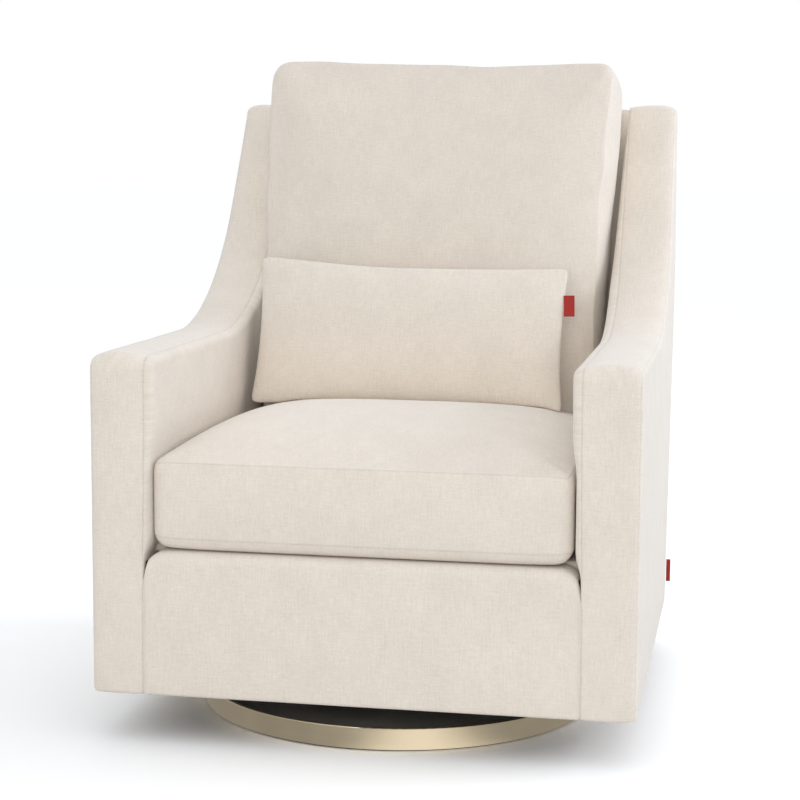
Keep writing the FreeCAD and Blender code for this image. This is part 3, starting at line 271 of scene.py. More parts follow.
def fabric(name, colour, thread=0.0016, slub=0.075, bump=0.3, sheen=0.4, variation=0.06):
    material, tree = new_material(name)
    weave = add_node(tree, "ShaderNodeUVMap", uv_map="weave").outputs["UV"]

    def stretched(u_size, v_size, detail):
        place = add_node(tree, "ShaderNodeMapping", {"Vector": weave, "Scale": (1 / u_size, 1 / v_size, 1.0)})
        return noise(tree, place.outputs[0], 1.0, detail, 0.6)

    def threads(direction):
        made = add_node(tree, "ShaderNodeTexWave", {"Vector": weave, "Scale": 0.314 / thread,
                                                    "Distortion": 1.2, "Detail": 1.0, "Detail Scale": 0.6},
                        bands_direction=direction)
        return made.outputs["Fac"]

    upright = stretched(thread * 1.6, 0.022, 2.0)
    across = stretched(0.017, thread * 1.5, 2.0)
    mottle = stretched(0.055, 0.07, 3.0)
    flecks = stretched(thread * 1.3, thread * 2.2, 1.0)
    woven = maths(tree, "MULTIPLY", threads("X"), threads("Y"))
    slubs = maths(tree, "ADD", maths(tree, "ADD", upright, across), flecks)
    tone = remap(tree, slubs, 1.05, 1.95, 1.0 - slub, 1.0 + slub)
    patch = remap(tree, mottle, 0.3, 0.7, 1.0 - variation / 2, 1.0 + variation / 2)
    # The seams: the thread's colour, and painted shade in the groove.
    seam = add_node(tree, "ShaderNodeAttribute", attribute_name="seam").outputs["Fac"]
    shade = remap(tree, seam, 0.0, 1.0, 1.0, SEAM_SHADE)
    tone = maths(tree, "MULTIPLY", maths(tree, "MULTIPLY", tone, patch), shade)
    warm = (colour[0] * 0.985, colour[1] * 0.985, colour[2] * 0.955, 1.0)
    tint = add_node(tree, "ShaderNodeMix", {0: upright, 6: warm, 7: (*colour, 1.0)}, data_type="RGBA")
    base = add_node(tree, "ShaderNodeVectorMath", {0: tint.outputs[2], "Scale": tone}, operation="SCALE")
    height = maths(tree, "ADD", maths(tree, "ADD", woven, slubs), slubs)
    relief = add_node(tree, "ShaderNodeBump", {"Strength": bump, "Distance": 0.0006, "Height": height})
    shader = add_node(tree, "ShaderNodeBsdfPrincipled", {
        "Base Color": base.outputs[0], "Roughness": 0.92, "Normal": relief.outputs[0], "Sheen Weight": sheen,
        "Sheen Roughness": 0.5, "Specular IOR Level": 0.25})
    add_node(tree, "ShaderNodeOutputMaterial", {"Surface": shader.outputs[0]})
    return material


finish = {
    "cream_fabric": fabric("cream_linen", (0.760, 0.684, 0.604)),
    # Black cloth of the dust covers, and of the painted shade sheets at the rail's ends:
    "black_fabric": fabric("black_cloth_and_shade_sheet", (0.012, 0.012, 0.013), thread=0.0009, sheen=0.05),
    "webbing": fabric("jute_webbing", (0.36, 0.25, 0.14), thread=0.0022, slub=0.12, bump=0.5, variation=0.12),
    "red_tab": fabric("red_ribbon", (0.40, 0.028, 0.022), thread=0.0007, slub=0.06, bump=0.3),
}

# %% [markdown]
# ## Metal, rubber, nylon and plywood
# The hard parts of the frame stay as the CAD made them, so all their looks come from the material. Real metal
# is never one flat colour: rolling, brushing and powder coating leave fine marks that change the roughness
# more than the colour. One helper covers them all: a noise stretched along the way the tool went, which moves
# colour, roughness and height a little. It reads Object coordinates, since each part lies at its own place.

# %% Hard finishes
def hard_finish(name, colour, roughness, metallic=0.0, grain=(120, 120, 120), tone=0.08, rough=0.08, bump=0.05,
                coat=0.0):
    material, tree = new_material(name)
    where = add_node(tree, "ShaderNodeTexCoord").outputs["Object"]
    along = add_node(tree, "ShaderNodeMapping", {"Vector": where, "Scale": grain}).outputs[0]
    marks = noise(tree, along, 1.0, 4.0, 0.6)
    cloud = noise(tree, where, 14.0, 2.0)
    both = maths(tree, "ADD", marks, cloud)
    dark = tuple(c * (1 - tone) for c in colour) + (1.0,)
    light = tuple(min(c * (1 + tone), 1.0) for c in colour) + (1.0,)
    share = remap(tree, both, 0.6, 1.4, 0.0, 1.0)
    base = add_node(tree, "ShaderNodeMix", {0: share, 6: dark, 7: light}, data_type="RGBA").outputs[2]
    gloss = remap(tree, both, 0.6, 1.4, roughness - rough, roughness + rough)
    relief = add_node(tree, "ShaderNodeBump", {"Strength": bump, "Distance": 0.0004, "Height": marks})
    shader = add_node(tree, "ShaderNodeBsdfPrincipled", {
        "Base Color": base, "Roughness": gloss, "Metallic": metallic, "Coat Weight": coat,
        "Normal": relief.outputs[0]})
    add_node(tree, "ShaderNodeOutputMaterial", {"Surface": shader.outputs[0]})
    return material


finish.update({
    "brass_ring": hard_finish("brushed_brass", (0.72, 0.615, 0.44), 0.34, 1.0, (9, 9, 1400), 0.05, 0.05, 0.06),
    "black_steel": hard_finish("black_powder_coat", (0.18, 0.172, 0.158), 0.5, 0.0, (900, 900, 900), 0.2, 0.1,
                               0.25),
    "plain_steel": hard_finish("zinc_plated_steel", (0.56, 0.57, 0.58), 0.35, 1.0, (260, 40, 260), 0.08, 0.1),
    "bearing_steel": hard_finish("polished_steel", (0.62, 0.62, 0.63), 0.12, 1.0, (60, 60, 60), 0.04, 0.04, 0),
    "bronze": hard_finish("sintered_bronze", (0.36, 0.22, 0.09), 0.42, 1.0, (500, 500, 500), 0.12, 0.1, 0.1),
    "nylon": hard_finish("natural_nylon", (0.72, 0.70, 0.64), 0.5, 0.0, (90, 90, 90), 0.03, 0.06),
    "black_rubber": hard_finish("black_rubber", (0.02, 0.02, 0.02), 0.8, 0.0, (500, 500, 500), 0.2, 0.08, 0.2),
    "plywood": hard_finish("birch_plywood", (0.56, 0.39, 0.22), 0.62, 0.0, (7, 120, 70), 0.16, 0.08, 0.15),
})
for row in frame["record"]["subparts"]:
    part = frame["nodes"][row["node"]]
    part.data.materials.clear()
    part.data.materials.append(finish[row["material_slot"]])
print(len(finish), "finishes on", len(frame["nodes"]), "nodes")

# %% [markdown]
# ## From numbers to a mesh
# The covers below are worked out as arrays of points, in millimetres, because a sewing pattern is drawn that
# way. Small helpers turn them into Blender pieces: they lay the weave on the mesh in metres, make the object,
# mark its seams and smooth it. The one named dress says which body the piece rides on, which CAD solids it
# stands for and which finish it wears, and upholster does so for a stuffed piece in the cream fabric.

# %% Mesh helpers
MM = 0.001


def box_mm(node):
    """The low and the high corner of a CAD solid's box, in millimetres."""
    return (np.array(corner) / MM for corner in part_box(node))


def at_x(x, *columns):
    """Points of a flat section that stands at one place across the chair."""
    return np.column_stack([np.full(len(columns[0]), x), *columns])


def way_round(ring):
    """How far it is to each point of a ring, and all the way round."""
    steps = np.linalg.norm(np.roll(ring, -1, 0) - ring, axis=1)
    return np.concatenate([[0.0], np.cumsum(steps)])


def weave_map(mesh):
    """Lays the weave on each face from the side that it faces most, in metres."""
    if not mesh.uv_layers:
        mesh.uv_layers.new(name="weave")
    points = np.empty((len(mesh.vertices), 3), np.float32)
    mesh.vertices.foreach_get("co", points.ravel())
    corners = np.empty(len(mesh.loops), np.int32)
    mesh.loops.foreach_get("vertex_index", corners)
    normals = np.empty((len(mesh.polygons), 3), np.float32)
    mesh.polygons.foreach_get("normal", normals.ravel())
    sizes = np.empty(len(mesh.polygons), np.int32)
    mesh.polygons.foreach_get("loop_total", sizes)
    axis = np.repeat(np.abs(normals).argmax(1), sizes)[:, None]
    spots = points[corners]
    uv = np.where(axis == 0, spots[:, [1, 2]], np.where(axis == 1, spots[:, [0, 2]], spots[:, [0, 1]]))
    mesh.uv_layers["weave"].data.foreach_set("uv", uv.astype(np.float32).ravel())


def new_piece(name, points, faces, uv=None):
    """A smooth mesh object from points in millimetres."""
    mesh = bpy.data.meshes.new(name)
    mesh.from_pydata((np.asarray(points, float) * MM).tolist(), [], faces)
    mesh.polygons.foreach_set("use_smooth", [True] * len(mesh.polygons))
    mesh.update()
    piece = bpy.data.objects.new(name, mesh)
    scene.collection.objects.link(piece)
    if uv is None:
        weave_map(mesh)
    else:
        weave = mesh.uv_layers.new(name="weave")
        weave.data.foreach_set("uv", (np.asarray(uv) * MM).astype(np.float32).ravel())
    return piece


# The seam attribute darkens the fabric there: the thread, and painted shade in the groove.
def mark_seams(piece, values):
    marks = piece.data.attributes.new("seam", "FLOAT", "POINT")
    marks.data.foreach_set("value", np.asarray(values, np.float32))


def dress(piece, slot, body, *nodes, fill=None):
    piece.data.materials.clear()
    piece.data.materials.append(finish[slot])
    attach(piece, body)
    if nodes:
        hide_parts(*nodes)
    print(piece.name, len(piece.data.polygons), "faces on", body)
    return piece


def upholster(piece, body, *nodes, fill):
    smooth = piece.modifiers.new("smooth", "SUBSURF")
    smooth.levels = smooth.render_levels = 1
    return dress(piece, "cream_fabric", body, *nodes, fill=fill)

# %% [markdown]
# ## Gentle waves
# Fabric over foam is never quite flat. A few long sine waves in different directions, added up, move each
# point by less than a millimetre. They have no random part, so every run gives the same chair.

# %% Waves
def waves(points, height, length):
    """Height of a gentle unevenness at each point, within about plus and minus height."""
    x, y, z = (np.asarray(points) * (2 * np.pi / length)).T
    total = (np.sin(x + 0.63 * y + 1.1) + np.sin(0.71 * y - 0.9 * z + 0.4) + np.sin(0.8 * z + 0.55 * x + 2.3)
             + 0.6 * np.sin(1.9 * x - 1.3 * z + 0.7) + 0.6 * np.sin(1.7 * y + 1.6 * z + 1.9))
    return total * (height / 3.2)

# %% [markdown]
# ## Arms that grow into wings
# On the real chair each arm is a box of plywood with foam on it. One long band of fabric runs up the front,
# back along the top, up the wing and down the rear, and a flat panel is sewn to it on each side. The outline
# of the band is six corners, each with its own rounding. To make the band bulge, the same outline is drawn
# again a little smaller for every line of points across the arm: each edge moves inwards by its own amount,
# and the corners keep their roundings. This is surer than pushing points along their normals, because small
# corners never cross over.

# %% Arm values
SIDES = (("left", -1), ("right", 1))
SEAM_X = 299.5
LEAN = math.radians(10.75)
BODY_BACK_Y, BODY_FOOT_Z = 402.0, 69.0
ARM_CORNERS = [(-312.0, 65.5, 6), (-312.0, 536.0, 25), (291.0, 536.0, 380), (501.5, 886.0, 20),
               (557.12, 886.0, 17), (402.0, 65.5, 8)]
# Along the front, the arm's top, the wing's front, the wing's top, the rear and the foot:
ARM_STEPS = [30, 26, 6, 5, 46, 40]
ARCH_DEPTH = np.array([16.0, 16.0, 13.0, 12.0, 9.0, 11.0])
PANEL_DROP = np.array([2.5, 5.0, 5.0, 4.0, 2.5, 1.0])
CORNER_STEPS = [5, 8, 34, 7, 6, 5]
BEAD = 11.0


def outline(insets):
    """Points of the arm's side outline, with each edge moved inwards by its own inset."""
    corners = np.array([c[:2] for c in ARM_CORNERS])
    ways = np.roll(corners, -1, 0) - corners
    ways /= np.linalg.norm(ways, axis=1)[:, None]
    outward = np.stack([-ways[:, 1], ways[:, 0]], 1)
    arcs = []
    for i, (y, z, radius) in enumerate(ARM_CORNERS):
        before, after = (i - 1) % 6, i
        pair = np.array([outward[before], outward[after]])
        level = pair @ corners[i] - np.array([insets[before], insets[after]])
        point = np.linalg.solve(pair, level)
        turn = ways[before][0] * ways[after][1] - ways[before][1] * ways[after][0]
        side = 1.0 if turn < 0 else -1.0
        radius = max(radius - side * (insets[before] + insets[after]) / 2, 0.42 * radius)
        reach = radius * math.tan(math.acos(np.clip(ways[before] @ ways[after], -1, 1)) / 2)
        start = point - ways[before] * reach
        centre = start - side * outward[before] * radius
        angle = math.acos(np.clip(outward[before] @ outward[after], -1, 1))
        steps = []
        for k in range(CORNER_STEPS[i] + 1):
            t = k / CORNER_STEPS[i]
            spoke = (math.sin((1 - t) * angle) * outward[before] + math.sin(t * angle) * outward[after]) \
                / math.sin(angle)
            steps.append(centre + side * spoke * radius)
        arcs.append(steps)
    path = []
    for i in range(6):
        path += arcs[i]
        start, end = arcs[i][-1], arcs[(i + 1) % 6][0]
        path += [start + (end - start) * k / ARM_STEPS[i] for k in range(1, ARM_STEPS[i])]
    return np.array(path)


print("arm outline:", len(outline(ARCH_DEPTH * 0)), "points")

# %% [markdown]
# ## Closing the sides of the arm
# The two side panels are flat shapes with many corners. Filling such a shape with one big face shades badly,
# so the inside gets a loose grid of points, and Delaunay triangulation joins them to the rim. The grid points
# may then be moved, and the panel bulges like cloth that is pulled over foam.

# %% Panels inside an outline
def inside(points, ring):
    """Whether each point is inside the ring, and how far it is from it."""
    a, b = ring, np.roll(ring, -1, 0)
    y, z = points[:, None, 0], points[:, None, 1]
    crosses = (a[:, 1] > z) != (b[:, 1] > z)
    rise = np.where(a[:, 1] == b[:, 1], 1.0, b[:, 1] - a[:, 1])
    hit = y < (b[:, 0] - a[:, 0]) * (z - a[:, 1]) / rise + a[:, 0]
    way = b - a
    length = np.maximum((way ** 2).sum(1), 1e-9)
    t = np.clip(((points[:, None] - a) * way).sum(2) / length, 0, 1)
    gap = np.linalg.norm(points[:, None] - (a + t[..., None] * way), axis=2).min(1)
    return (crosses & hit).sum(1) % 2 == 1, gap


def fill_panel(ring, spacing=15.0):
    """Extra points inside a ring, their distance from it, and the triangles that join them all."""
    low, high = ring.min(0), ring.max(0)
    rows = []
    for j, z in enumerate(np.arange(low[1], high[1], spacing * 0.87)):
        ys = np.arange(low[0], high[0], spacing) + (j % 2) * spacing / 2
        rows.append(np.stack([ys, np.full(len(ys), z)], 1))
    grid = np.concatenate(rows)
    within, gap = inside(grid, ring)
    keep = within & (gap > spacing * 0.45)
    grid, gap = grid[keep], gap[keep]
    every = np.concatenate([ring, grid])
    made = delaunay_2d_cdt([Vector(p) for p in every], [], [list(range(len(ring)))], 1, 1e-6)
    back = [made[3][i][0] for i in range(len(made[0]))]
    triangles = [[back[i] for i in face] for face in made[2]]
    return grid, gap, triangles

# %% Seam and inside panel
def smooth_step(value, start, end):
    t = np.clip((np.asarray(value, float) - start) / (end - start), 0, 1)
    return t * t * (3 - 2 * t)


def behind(points_y, points_z):
    """Depth behind the outside back, measured square to the leaning back."""
    return (points_y - BODY_BACK_Y) * math.cos(LEAN) - (points_z - BODY_FOOT_Z) * math.sin(LEAN)


def pad_share(y, z):
    """1 where the padded inside panel stands, above the seat deck and before the back."""
    return smooth_step(z, 258, 278) * (1 - smooth_step(behind(y, z), -58, -50))


def seam_x(z):
    """Place across the chair of the inner seam: the arm's band is a little wider higher up."""
    return SEAM_X - 4.5 * smooth_step(z, 130, 470) - 3.0 * smooth_step(z, 540, 680)


def face_x(z):
    """Place of the inside panel: pressed flat beside the seat cushion, and puffed out above it."""
    return np.interp(z, [240, 270, 392, 430, 520, 560, 600, 650, 720, 800, 850, 876],
                     [289.3, 288.6, 288.4, 282.6, 281.5, 280.0, 279.4, 281.0, 283.0, 285.5, 287.4, 289.4])


print("inner seam from", SEAM_X, "at the foot to", round(float(seam_x(700)), 1), "on the wing")

# %% [markdown]
# ## The lines of an arm
# The band is drawn as lines that run all the way round the arm. From the inside to the outside they are the
# bead beside the inner panel, the inner seam, a run that rises to the crest, and the arch that falls away to
# the outer panel, with a second seam near its end. Each line says where it lies, how deep its groove is, and
# how strongly the seam marks it.

# %% Lines along the arm
ARCH_MIDDLE, ARCH_HALF = 337.25, 36.25
ARCH_POWER, FOOT_POWER = 2.3, 6.0
OUTER_SEAM = 0.9
WING_TAPER, TAPER_START, TAPER_END = 4.5, 560, 880
OUTER_SWELL = 2.2
ARM_MIDDLE = np.array([337.0, 60.0, 330.0])
# The fabric's pattern is measured along this line of the arm, and across it at this point:
PATTERN_RING, PATTERN_POINT = 15, 10


def arch(share, power):
    """How far the band has dropped, from 0 to 1, at a share of the way from its middle to its edge."""
    return 1 - (1 - min(share, 1.0) ** power) ** (1 / power)


def arm_lines():
    """Each line along the arm: its kind, its place in that kind's measure, its groove and its seam mark."""
    lines = [("bead", math.radians(angle), 0.0, 0.0) for angle in (0, 15, 32, 50, 68, 82)]
    lines += [("seam", -0.5, 0.35, 0.5), ("seam", 0.0, 0.9, 1.0), ("seam", 0.5, 0.35, 0.5)]
    lines += [("inner", x, 0.0, 0.0) for x in (301.0, 303.5, 308, 313, 319, 325, 331)]
    shares = [math.cos(math.radians(a)) ** (2 / ARCH_POWER) for a in np.linspace(90, 0, 19)]
    lines += [("outer", share, 0.0, 0.0) for share in shares if abs(share - OUTER_SEAM) > 0.045]
    lines += [("outer", OUTER_SEAM + shift, groove, mark)
              for shift, groove, mark in ((-0.035, 0.0, 0.0), (-0.014, 0.2, 0.25), (0.0, 0.45, 0.6),
                                          (0.014, 0.2, 0.25), (0.035, 0.0, 0.0))]
    outer = sorted([line for line in lines if line[0] == "outer"], key=lambda line: line[1])
    return [line for line in lines if line[0] != "outer"] + outer


def arm_ring(kind, at, groove):
    """One line along the arm, as points across, to the rear and up."""
    if kind == "bead":
        insets = PANEL_DROP + BEAD * (1 - math.sin(at))
    elif kind == "seam":
        insets = PANEL_DROP + groove
    elif kind == "inner":
        insets = PANEL_DROP * ((ARCH_MIDDLE - at) / (ARCH_MIDDLE - SEAM_X)) ** 2.6
    else:
        drops = [arch(at, ARCH_POWER)] * 5 + [arch(at, FOOT_POWER)]
        insets = ARCH_DEPTH * drops + groove
    ring = outline(insets)
    seam = seam_x(ring[:, 1])
    if kind == "bead":
        share = pad_share(ring[:, 0], ring[:, 1])
        deep = (seam - 0.9 - face_x(ring[:, 1])) * share + 0.3 * (1 - share)
        across = seam - 0.9 - deep * math.cos(at)
    elif kind == "seam":
        across = seam + at
    elif kind == "inner":
        across = at - (SEAM_X - seam) * (ARCH_MIDDLE - at) / (ARCH_MIDDLE - SEAM_X)
    else:
        across = np.full(len(ring), ARCH_MIDDLE + ARCH_HALF * at)
        across = across - WING_TAPER * smooth_step(ring[:, 1], TAPER_START, TAPER_END) * at
    return np.column_stack([across, ring])


print(len(arm_lines()), "lines along the arm")

# %% [markdown]
# ## Sewing an arm together
# Neighbouring lines are joined by squares, and the rings at both ends are closed by the two side panels. The
# left arm is the right one mirrored. Mirroring turns a face inside out, so the order of its corners turns too.

# %% Arms
def make_arm(name, side):
    lines = arm_lines()
    rings = [arm_ring(kind, at, groove) for kind, at, groove, mark in lines]
    marks = [np.full(len(rings[0]), line[3]) for line in lines]
    count = len(rings[0])
    points = np.concatenate(rings)
    along = way_round(rings[PATTERN_RING])
    cross = [ring[PATTERN_POINT][0] for ring in rings]
    faces, uv = [], []
    for j in range(len(rings) - 1):
        for i in range(count):
            k = (i + 1) % count
            quad = [j * count + i, (j + 1) * count + i, (j + 1) * count + k, j * count + k]
            at = [(cross[j], along[i]), (cross[j + 1], along[i]), (cross[j + 1], along[i + 1]),
                  (cross[j], along[i + 1])]
            faces.append(quad[::side])
            uv += at[::side]
    for end, first in ((-1, 0), (1, len(rings) - 1)):
        ring = rings[first]
        grid, gap, triangles = fill_panel(ring[:, 1:])
        if end > 0:
            swell = ARCH_MIDDLE + ARCH_HALF + OUTER_SWELL * smooth_step(gap, 0, 60) \
                - WING_TAPER * smooth_step(grid[:, 1], TAPER_START, TAPER_END)
        else:
            share = pad_share(grid[:, 0], grid[:, 1])
            swell = (seam_x(grid[:, 1]) - 1.2) * (1 - share) + (face_x(grid[:, 1]) - 0.2) * share
        start = len(points)
        points = np.concatenate([points, np.column_stack([swell, grid])])
        marks.append(np.zeros(len(grid)))
        base = first * count
        for a, b, c in triangles:
            corners = [base + i if i < count else start + i - count for i in (a, b, c)]
            spots = points[corners][:, 1:]
            area = (spots[1, 0] - spots[0, 0]) * (spots[2, 1] - spots[0, 1]) \
                - (spots[1, 1] - spots[0, 1]) * (spots[2, 0] - spots[0, 0])
            if (area > 0) != (end * side > 0):
                corners = corners[::-1]
            faces.append(corners)
            uv += [tuple(points[i][1:]) for i in corners]
    away = points - ARM_MIDDLE
    away /= np.linalg.norm(away, axis=1)[:, None]
    points = points + away * waves(points + side * 40.0, 0.7, 170.0)[:, None] * (points[:, [0]] > 300)
    points[:, 0] *= side
    arm = new_piece(name, points, faces, uv)
    mark_seams(arm, np.concatenate(marks))
    return arm


for side_name, side in SIDES:
    upholster(make_arm("arm_" + side_name, side), "chair", "arm_cover_" + side_name,
              "arm_inner_pad_" + side_name, fill=0.9)

# %% [markdown]
# ## Covers made by lofting
# The front rail, the panel behind the back cushion, the seat deck and the outside back are all long strips
# with the same kind of section from end to end. A loft takes such a section at many places across the chair
# and joins each one to the next. The section may change a little on the way, so the ends can roll down or draw
# in, and this is all it takes for a board to look upholstered.

# %% A loft
def loft(name, sections, uv_turn=False):
    """A closed piece through equal closed sections, given as arrays of points in millimetres."""
    count = len(sections[0])
    points = np.concatenate(sections)
    faces, uv = [], []
    ring_way = way_round(sections[0])
    run = np.concatenate([[0.0], np.cumsum([np.linalg.norm(b.mean(0) - a.mean(0))
                                            for a, b in zip(sections, sections[1:])])])
    for j in range(len(sections) - 1):
        for i in range(count):
            k = (i + 1) % count
            faces.append([j * count + i, j * count + k, (j + 1) * count + k, (j + 1) * count + i])
            square = [(run[j], ring_way[i]), (run[j], ring_way[i + 1]), (run[j + 1], ring_way[i + 1]),
                      (run[j + 1], ring_way[i])]
            uv += [(v, u) for u, v in square] if uv_turn else square
    for j, turn in ((0, -1), (len(sections) - 1, 1)):
        face = [j * count + i for i in range(count)]
        faces.append(face[::turn])
        uv += [(ring_way[i % count], 0.0) for i in face[::turn]]
    piece = new_piece(name, points, faces, uv)
    tidy = bmesh.new()
    tidy.from_mesh(piece.data)
    bmesh.ops.recalc_face_normals(tidy, faces=tidy.faces)
    tidy.to_mesh(piece.data)
    tidy.free()
    return piece


def rounded_section(corners, steps=5, run=14.0):
    """Points round a closed outline with corners (a, b, radius), spaced evenly along its straight runs."""
    points = np.array([c[:2] for c in corners], float)
    arcs = []
    for i, (a, b, radius) in enumerate(corners):
        to_last = points[i - 1] - points[i]
        to_next = points[(i + 1) % len(corners)] - points[i]
        to_last, to_next = to_last / np.linalg.norm(to_last), to_next / np.linalg.norm(to_next)
        if radius <= 0:
            arcs.append([points[i]])
            continue
        half = math.acos(np.clip(to_last @ to_next, -1, 1)) / 2
        reach = radius / math.tan(half)
        middle = points[i] + (to_last + to_next) / np.linalg.norm(to_last + to_next) * radius / math.sin(half)
        start, end = points[i] + to_last * reach - middle, points[i] + to_next * reach - middle
        sweep = math.pi - 2 * half
        arcs.append([middle + (math.sin((1 - t) * sweep) * start + math.sin(t * sweep) * end) / math.sin(sweep)
                     for t in np.linspace(0, 1, steps + 1)])
    path = []
    for i, arc in enumerate(arcs):
        path += arc
        start, end = arc[-1], arcs[(i + 1) % len(arcs)][0]
        number = max(int(np.linalg.norm(end - start) / run), 1)
        path += [start + (end - start) * k / number for k in range(1, number)]
    return np.array(path)

# %% [markdown]
# ## The front rail
# Under the seat cushion a flat band of fabric joins the two arms. Its top edge rolls back over the rail, and
# at each end it is pulled down beside the arm, which leaves a small dark triangle in the corner; a black sheet
# of painted shade deepens it. The section is a C, open to the rear, because the wooden rail and the spring
# clips are inside it.

# %% Front rail cover
RAIL_FOOT, RAIL_TOP, RAIL_ROLL = 66.0, 265.0, 31.0
RAIL_FRONT_Y, RAIL_WALL_Y, RAIL_BACK_Y = -312.0, -300.0, -257.0
RAIL_LIP, RAIL_FLOOR = 255.7, 81.0


def rail_section(x):
    beyond = max(abs(x) - (SEAM_X - RAIL_ROLL), 0.0)
    top = RAIL_TOP - RAIL_ROLL + math.sqrt(max(RAIL_ROLL ** 2 - beyond ** 2, 0.0))
    top -= 12.0 * float(smooth_step(abs(x), 291.0, 299.4))
    tuck = 3.4 * float(smooth_step(abs(x), 293.0, 299.5))
    front = RAIL_FRONT_Y + tuck - 0.8 * (1 - (x / SEAM_X) ** 2)
    lip = min(RAIL_LIP, top - 4.0)
    return at_x(x, rounded_section([
        (RAIL_BACK_Y, RAIL_FOOT, 0), (front, RAIL_FOOT, 5), (front, top, 13), (RAIL_BACK_Y, top, 2),
        (RAIL_BACK_Y, lip, 0), (RAIL_WALL_Y, lip, 0), (RAIL_WALL_Y, RAIL_FLOOR, 0),
        (RAIL_BACK_Y, RAIL_FLOOR, 0)], run=200.0))


def spaced(low, high, step, extra=()):
    return np.unique(np.concatenate([np.linspace(low, high, int(abs(high - low) / step) + 1), extra]))


def rail_heights(section):
    """Puts rows of points up the long front and rear runs of a rail section."""
    rows = []
    for a, b in zip(section, np.roll(section, -1, 0)):
        number = 10 if abs(b[2] - a[2]) > 100 else 1
        rows += [a + (b - a) * k / number for k in range(number)]
    return np.array(rows)


roll_ends = [end * x for end in (-1, 1) for x in (269, 275, 281, 287, 291, 293.5, 295.5, 297, 298.3, 299.4)]
sections = [rail_heights(rail_section(x)) for x in spaced(-262.0, 262.0, 21.0, roll_ends)]
for section in sections:
    face = section[:, 1] < RAIL_WALL_Y - 0.5
    section[face, 1] += waves(section[face], 0.6, 150.0)
upholster(loft("front_rail_band", sections), "chair", "front_rail_cover", fill=0.9)

# Black sheets over the ends of the wooden rail hide the wood, and their black is painted shade in the dark
# corners:
SHADE_SHEET_INNER_X, SHADE_SHEET_OUTER_X, SHADE_SHEET_LOW_Z, SHADE_SHEET_OVER = 284.0, 299.7, 205.0, 0.6
wood_low, wood_high = box_mm("front_rail")
for side_name, side in SIDES:
    corners = [(side * x, y, z) for x in (SHADE_SHEET_INNER_X, SHADE_SHEET_OUTER_X)
               for y in (wood_low[1] - SHADE_SHEET_OVER, RAIL_BACK_Y)
               for z in (SHADE_SHEET_LOW_Z, wood_high[2] + SHADE_SHEET_OVER)]
    faces = [(0, 1, 3, 2), (4, 6, 7, 5), (0, 4, 5, 1), (2, 3, 7, 6), (0, 2, 6, 4), (1, 5, 7, 3)]
    shade_sheet = new_piece("rail_end_shade_sheet_" + side_name, corners, [face[::side] for face in faces])
    shade_sheet.data.polygons.foreach_set("use_smooth", [False] * len(faces))
    dress(shade_sheet, "black_fabric", "chair")

# %% [markdown]
# ## The back, inside and outside
# Behind the loose back cushion is a thin padded panel. It wraps over the top rail and ends at the rear, and
# its top shows as a narrow strip between the cushion and the wing. The outside back is one piece of fabric,
# pulled tight over the posts, so it sinks a little between them. Both are worked out standing upright, as
# depth and height, and then leaned back together.

# %% Back panels
def lean(points):
    """From (x, depth behind the back, height up the back) to the leaning back."""
    x, depth, height = np.asarray(points, float).T
    return np.column_stack([x, BODY_BACK_Y + height * math.sin(LEAN) + depth * math.cos(LEAN),
                            BODY_FOOT_Z + height * math.cos(LEAN) - depth * math.sin(LEAN)])


BACK_TOP, BACK_WOOD_TOP, BACK_FACE, BACK_LINING = 816.5, 798.8, -56.0, -36.0
BACK_HALF, OUTSIDE_HALF = 299.0, 299.2
DECK_LEVEL = 269.7
EDGE_LINES = (-298.0, -296.0, -292.0, 292.0, 296.0, 298.0)
pad_foot = (DECK_LEVEL - BODY_FOOT_Z + BACK_FACE * math.sin(LEAN)) / math.cos(LEAN)
sections = []
for x in spaced(-BACK_HALF, BACK_HALF, 20.0, EDGE_LINES):
    top = BACK_TOP + (1.5 * (1 - (x / SEAM_X) ** 2) - 1.6 * float(smooth_step(abs(x), 294.0, 299.0)))
    section = rounded_section([
        (BACK_FACE, pad_foot, 0), (BACK_FACE, top, 15), (0.6, top, 7),
        (0.6, BACK_WOOD_TOP, 0), (BACK_LINING, BACK_WOOD_TOP, 0), (BACK_LINING, pad_foot, 0)], run=36.0)
    section = lean(at_x(x, section))
    section[:, 0] *= (seam_x(section[:, 2]) - 0.6) / BACK_HALF
    sections.append(section)
upholster(loft("inside_back_panel", sections), "chair", "inside_back_pad", fill=0.9)

sections = []
for x in spaced(-OUTSIDE_HALF, OUTSIDE_HALF, 24.0, EDGE_LINES):
    edge = float(smooth_step(abs(x), 291.0, OUTSIDE_HALF))
    heights = np.concatenate([[0.6, 3.0, 8.0], np.linspace(18, 780, 34), [788.0, 794.0, 797.6]])
    sink = 1.6 * smooth_step(260 - abs(x), 0, 160) * smooth_step(heights, 30, 220) \
        * (1 - smooth_step(heights, 560, 770))
    rim = 1.6 * smooth_step(heights, 10, 0) + 1.6 * smooth_step(heights, 788, 798) + 1.8 * edge
    rear = 0.9 - rim - sink
    inner_side = at_x(x, np.full(len(heights), -3.9), heights)[::-1]
    section = lean(np.concatenate([at_x(x, rear, heights), inner_side]))
    section[:, 1] += waves(section, 0.4, 190.0) * (1 - edge)
    section[:, 0] *= (seam_x(section[:, 2]) - 0.6) / OUTSIDE_HALF
    sections.append(section)
upholster(loft("outside_back_panel", sections), "chair", "outside_back_cover", fill=0.5)

# %% [markdown]
# ## The deck under the seat cushion
# The deck is a thin quilted pad on the seat springs. Nobody sees it until the cushion is lifted, but then it
# is the whole picture: a flat field with a seam near the front, where the deck cloth meets the rail's cover.

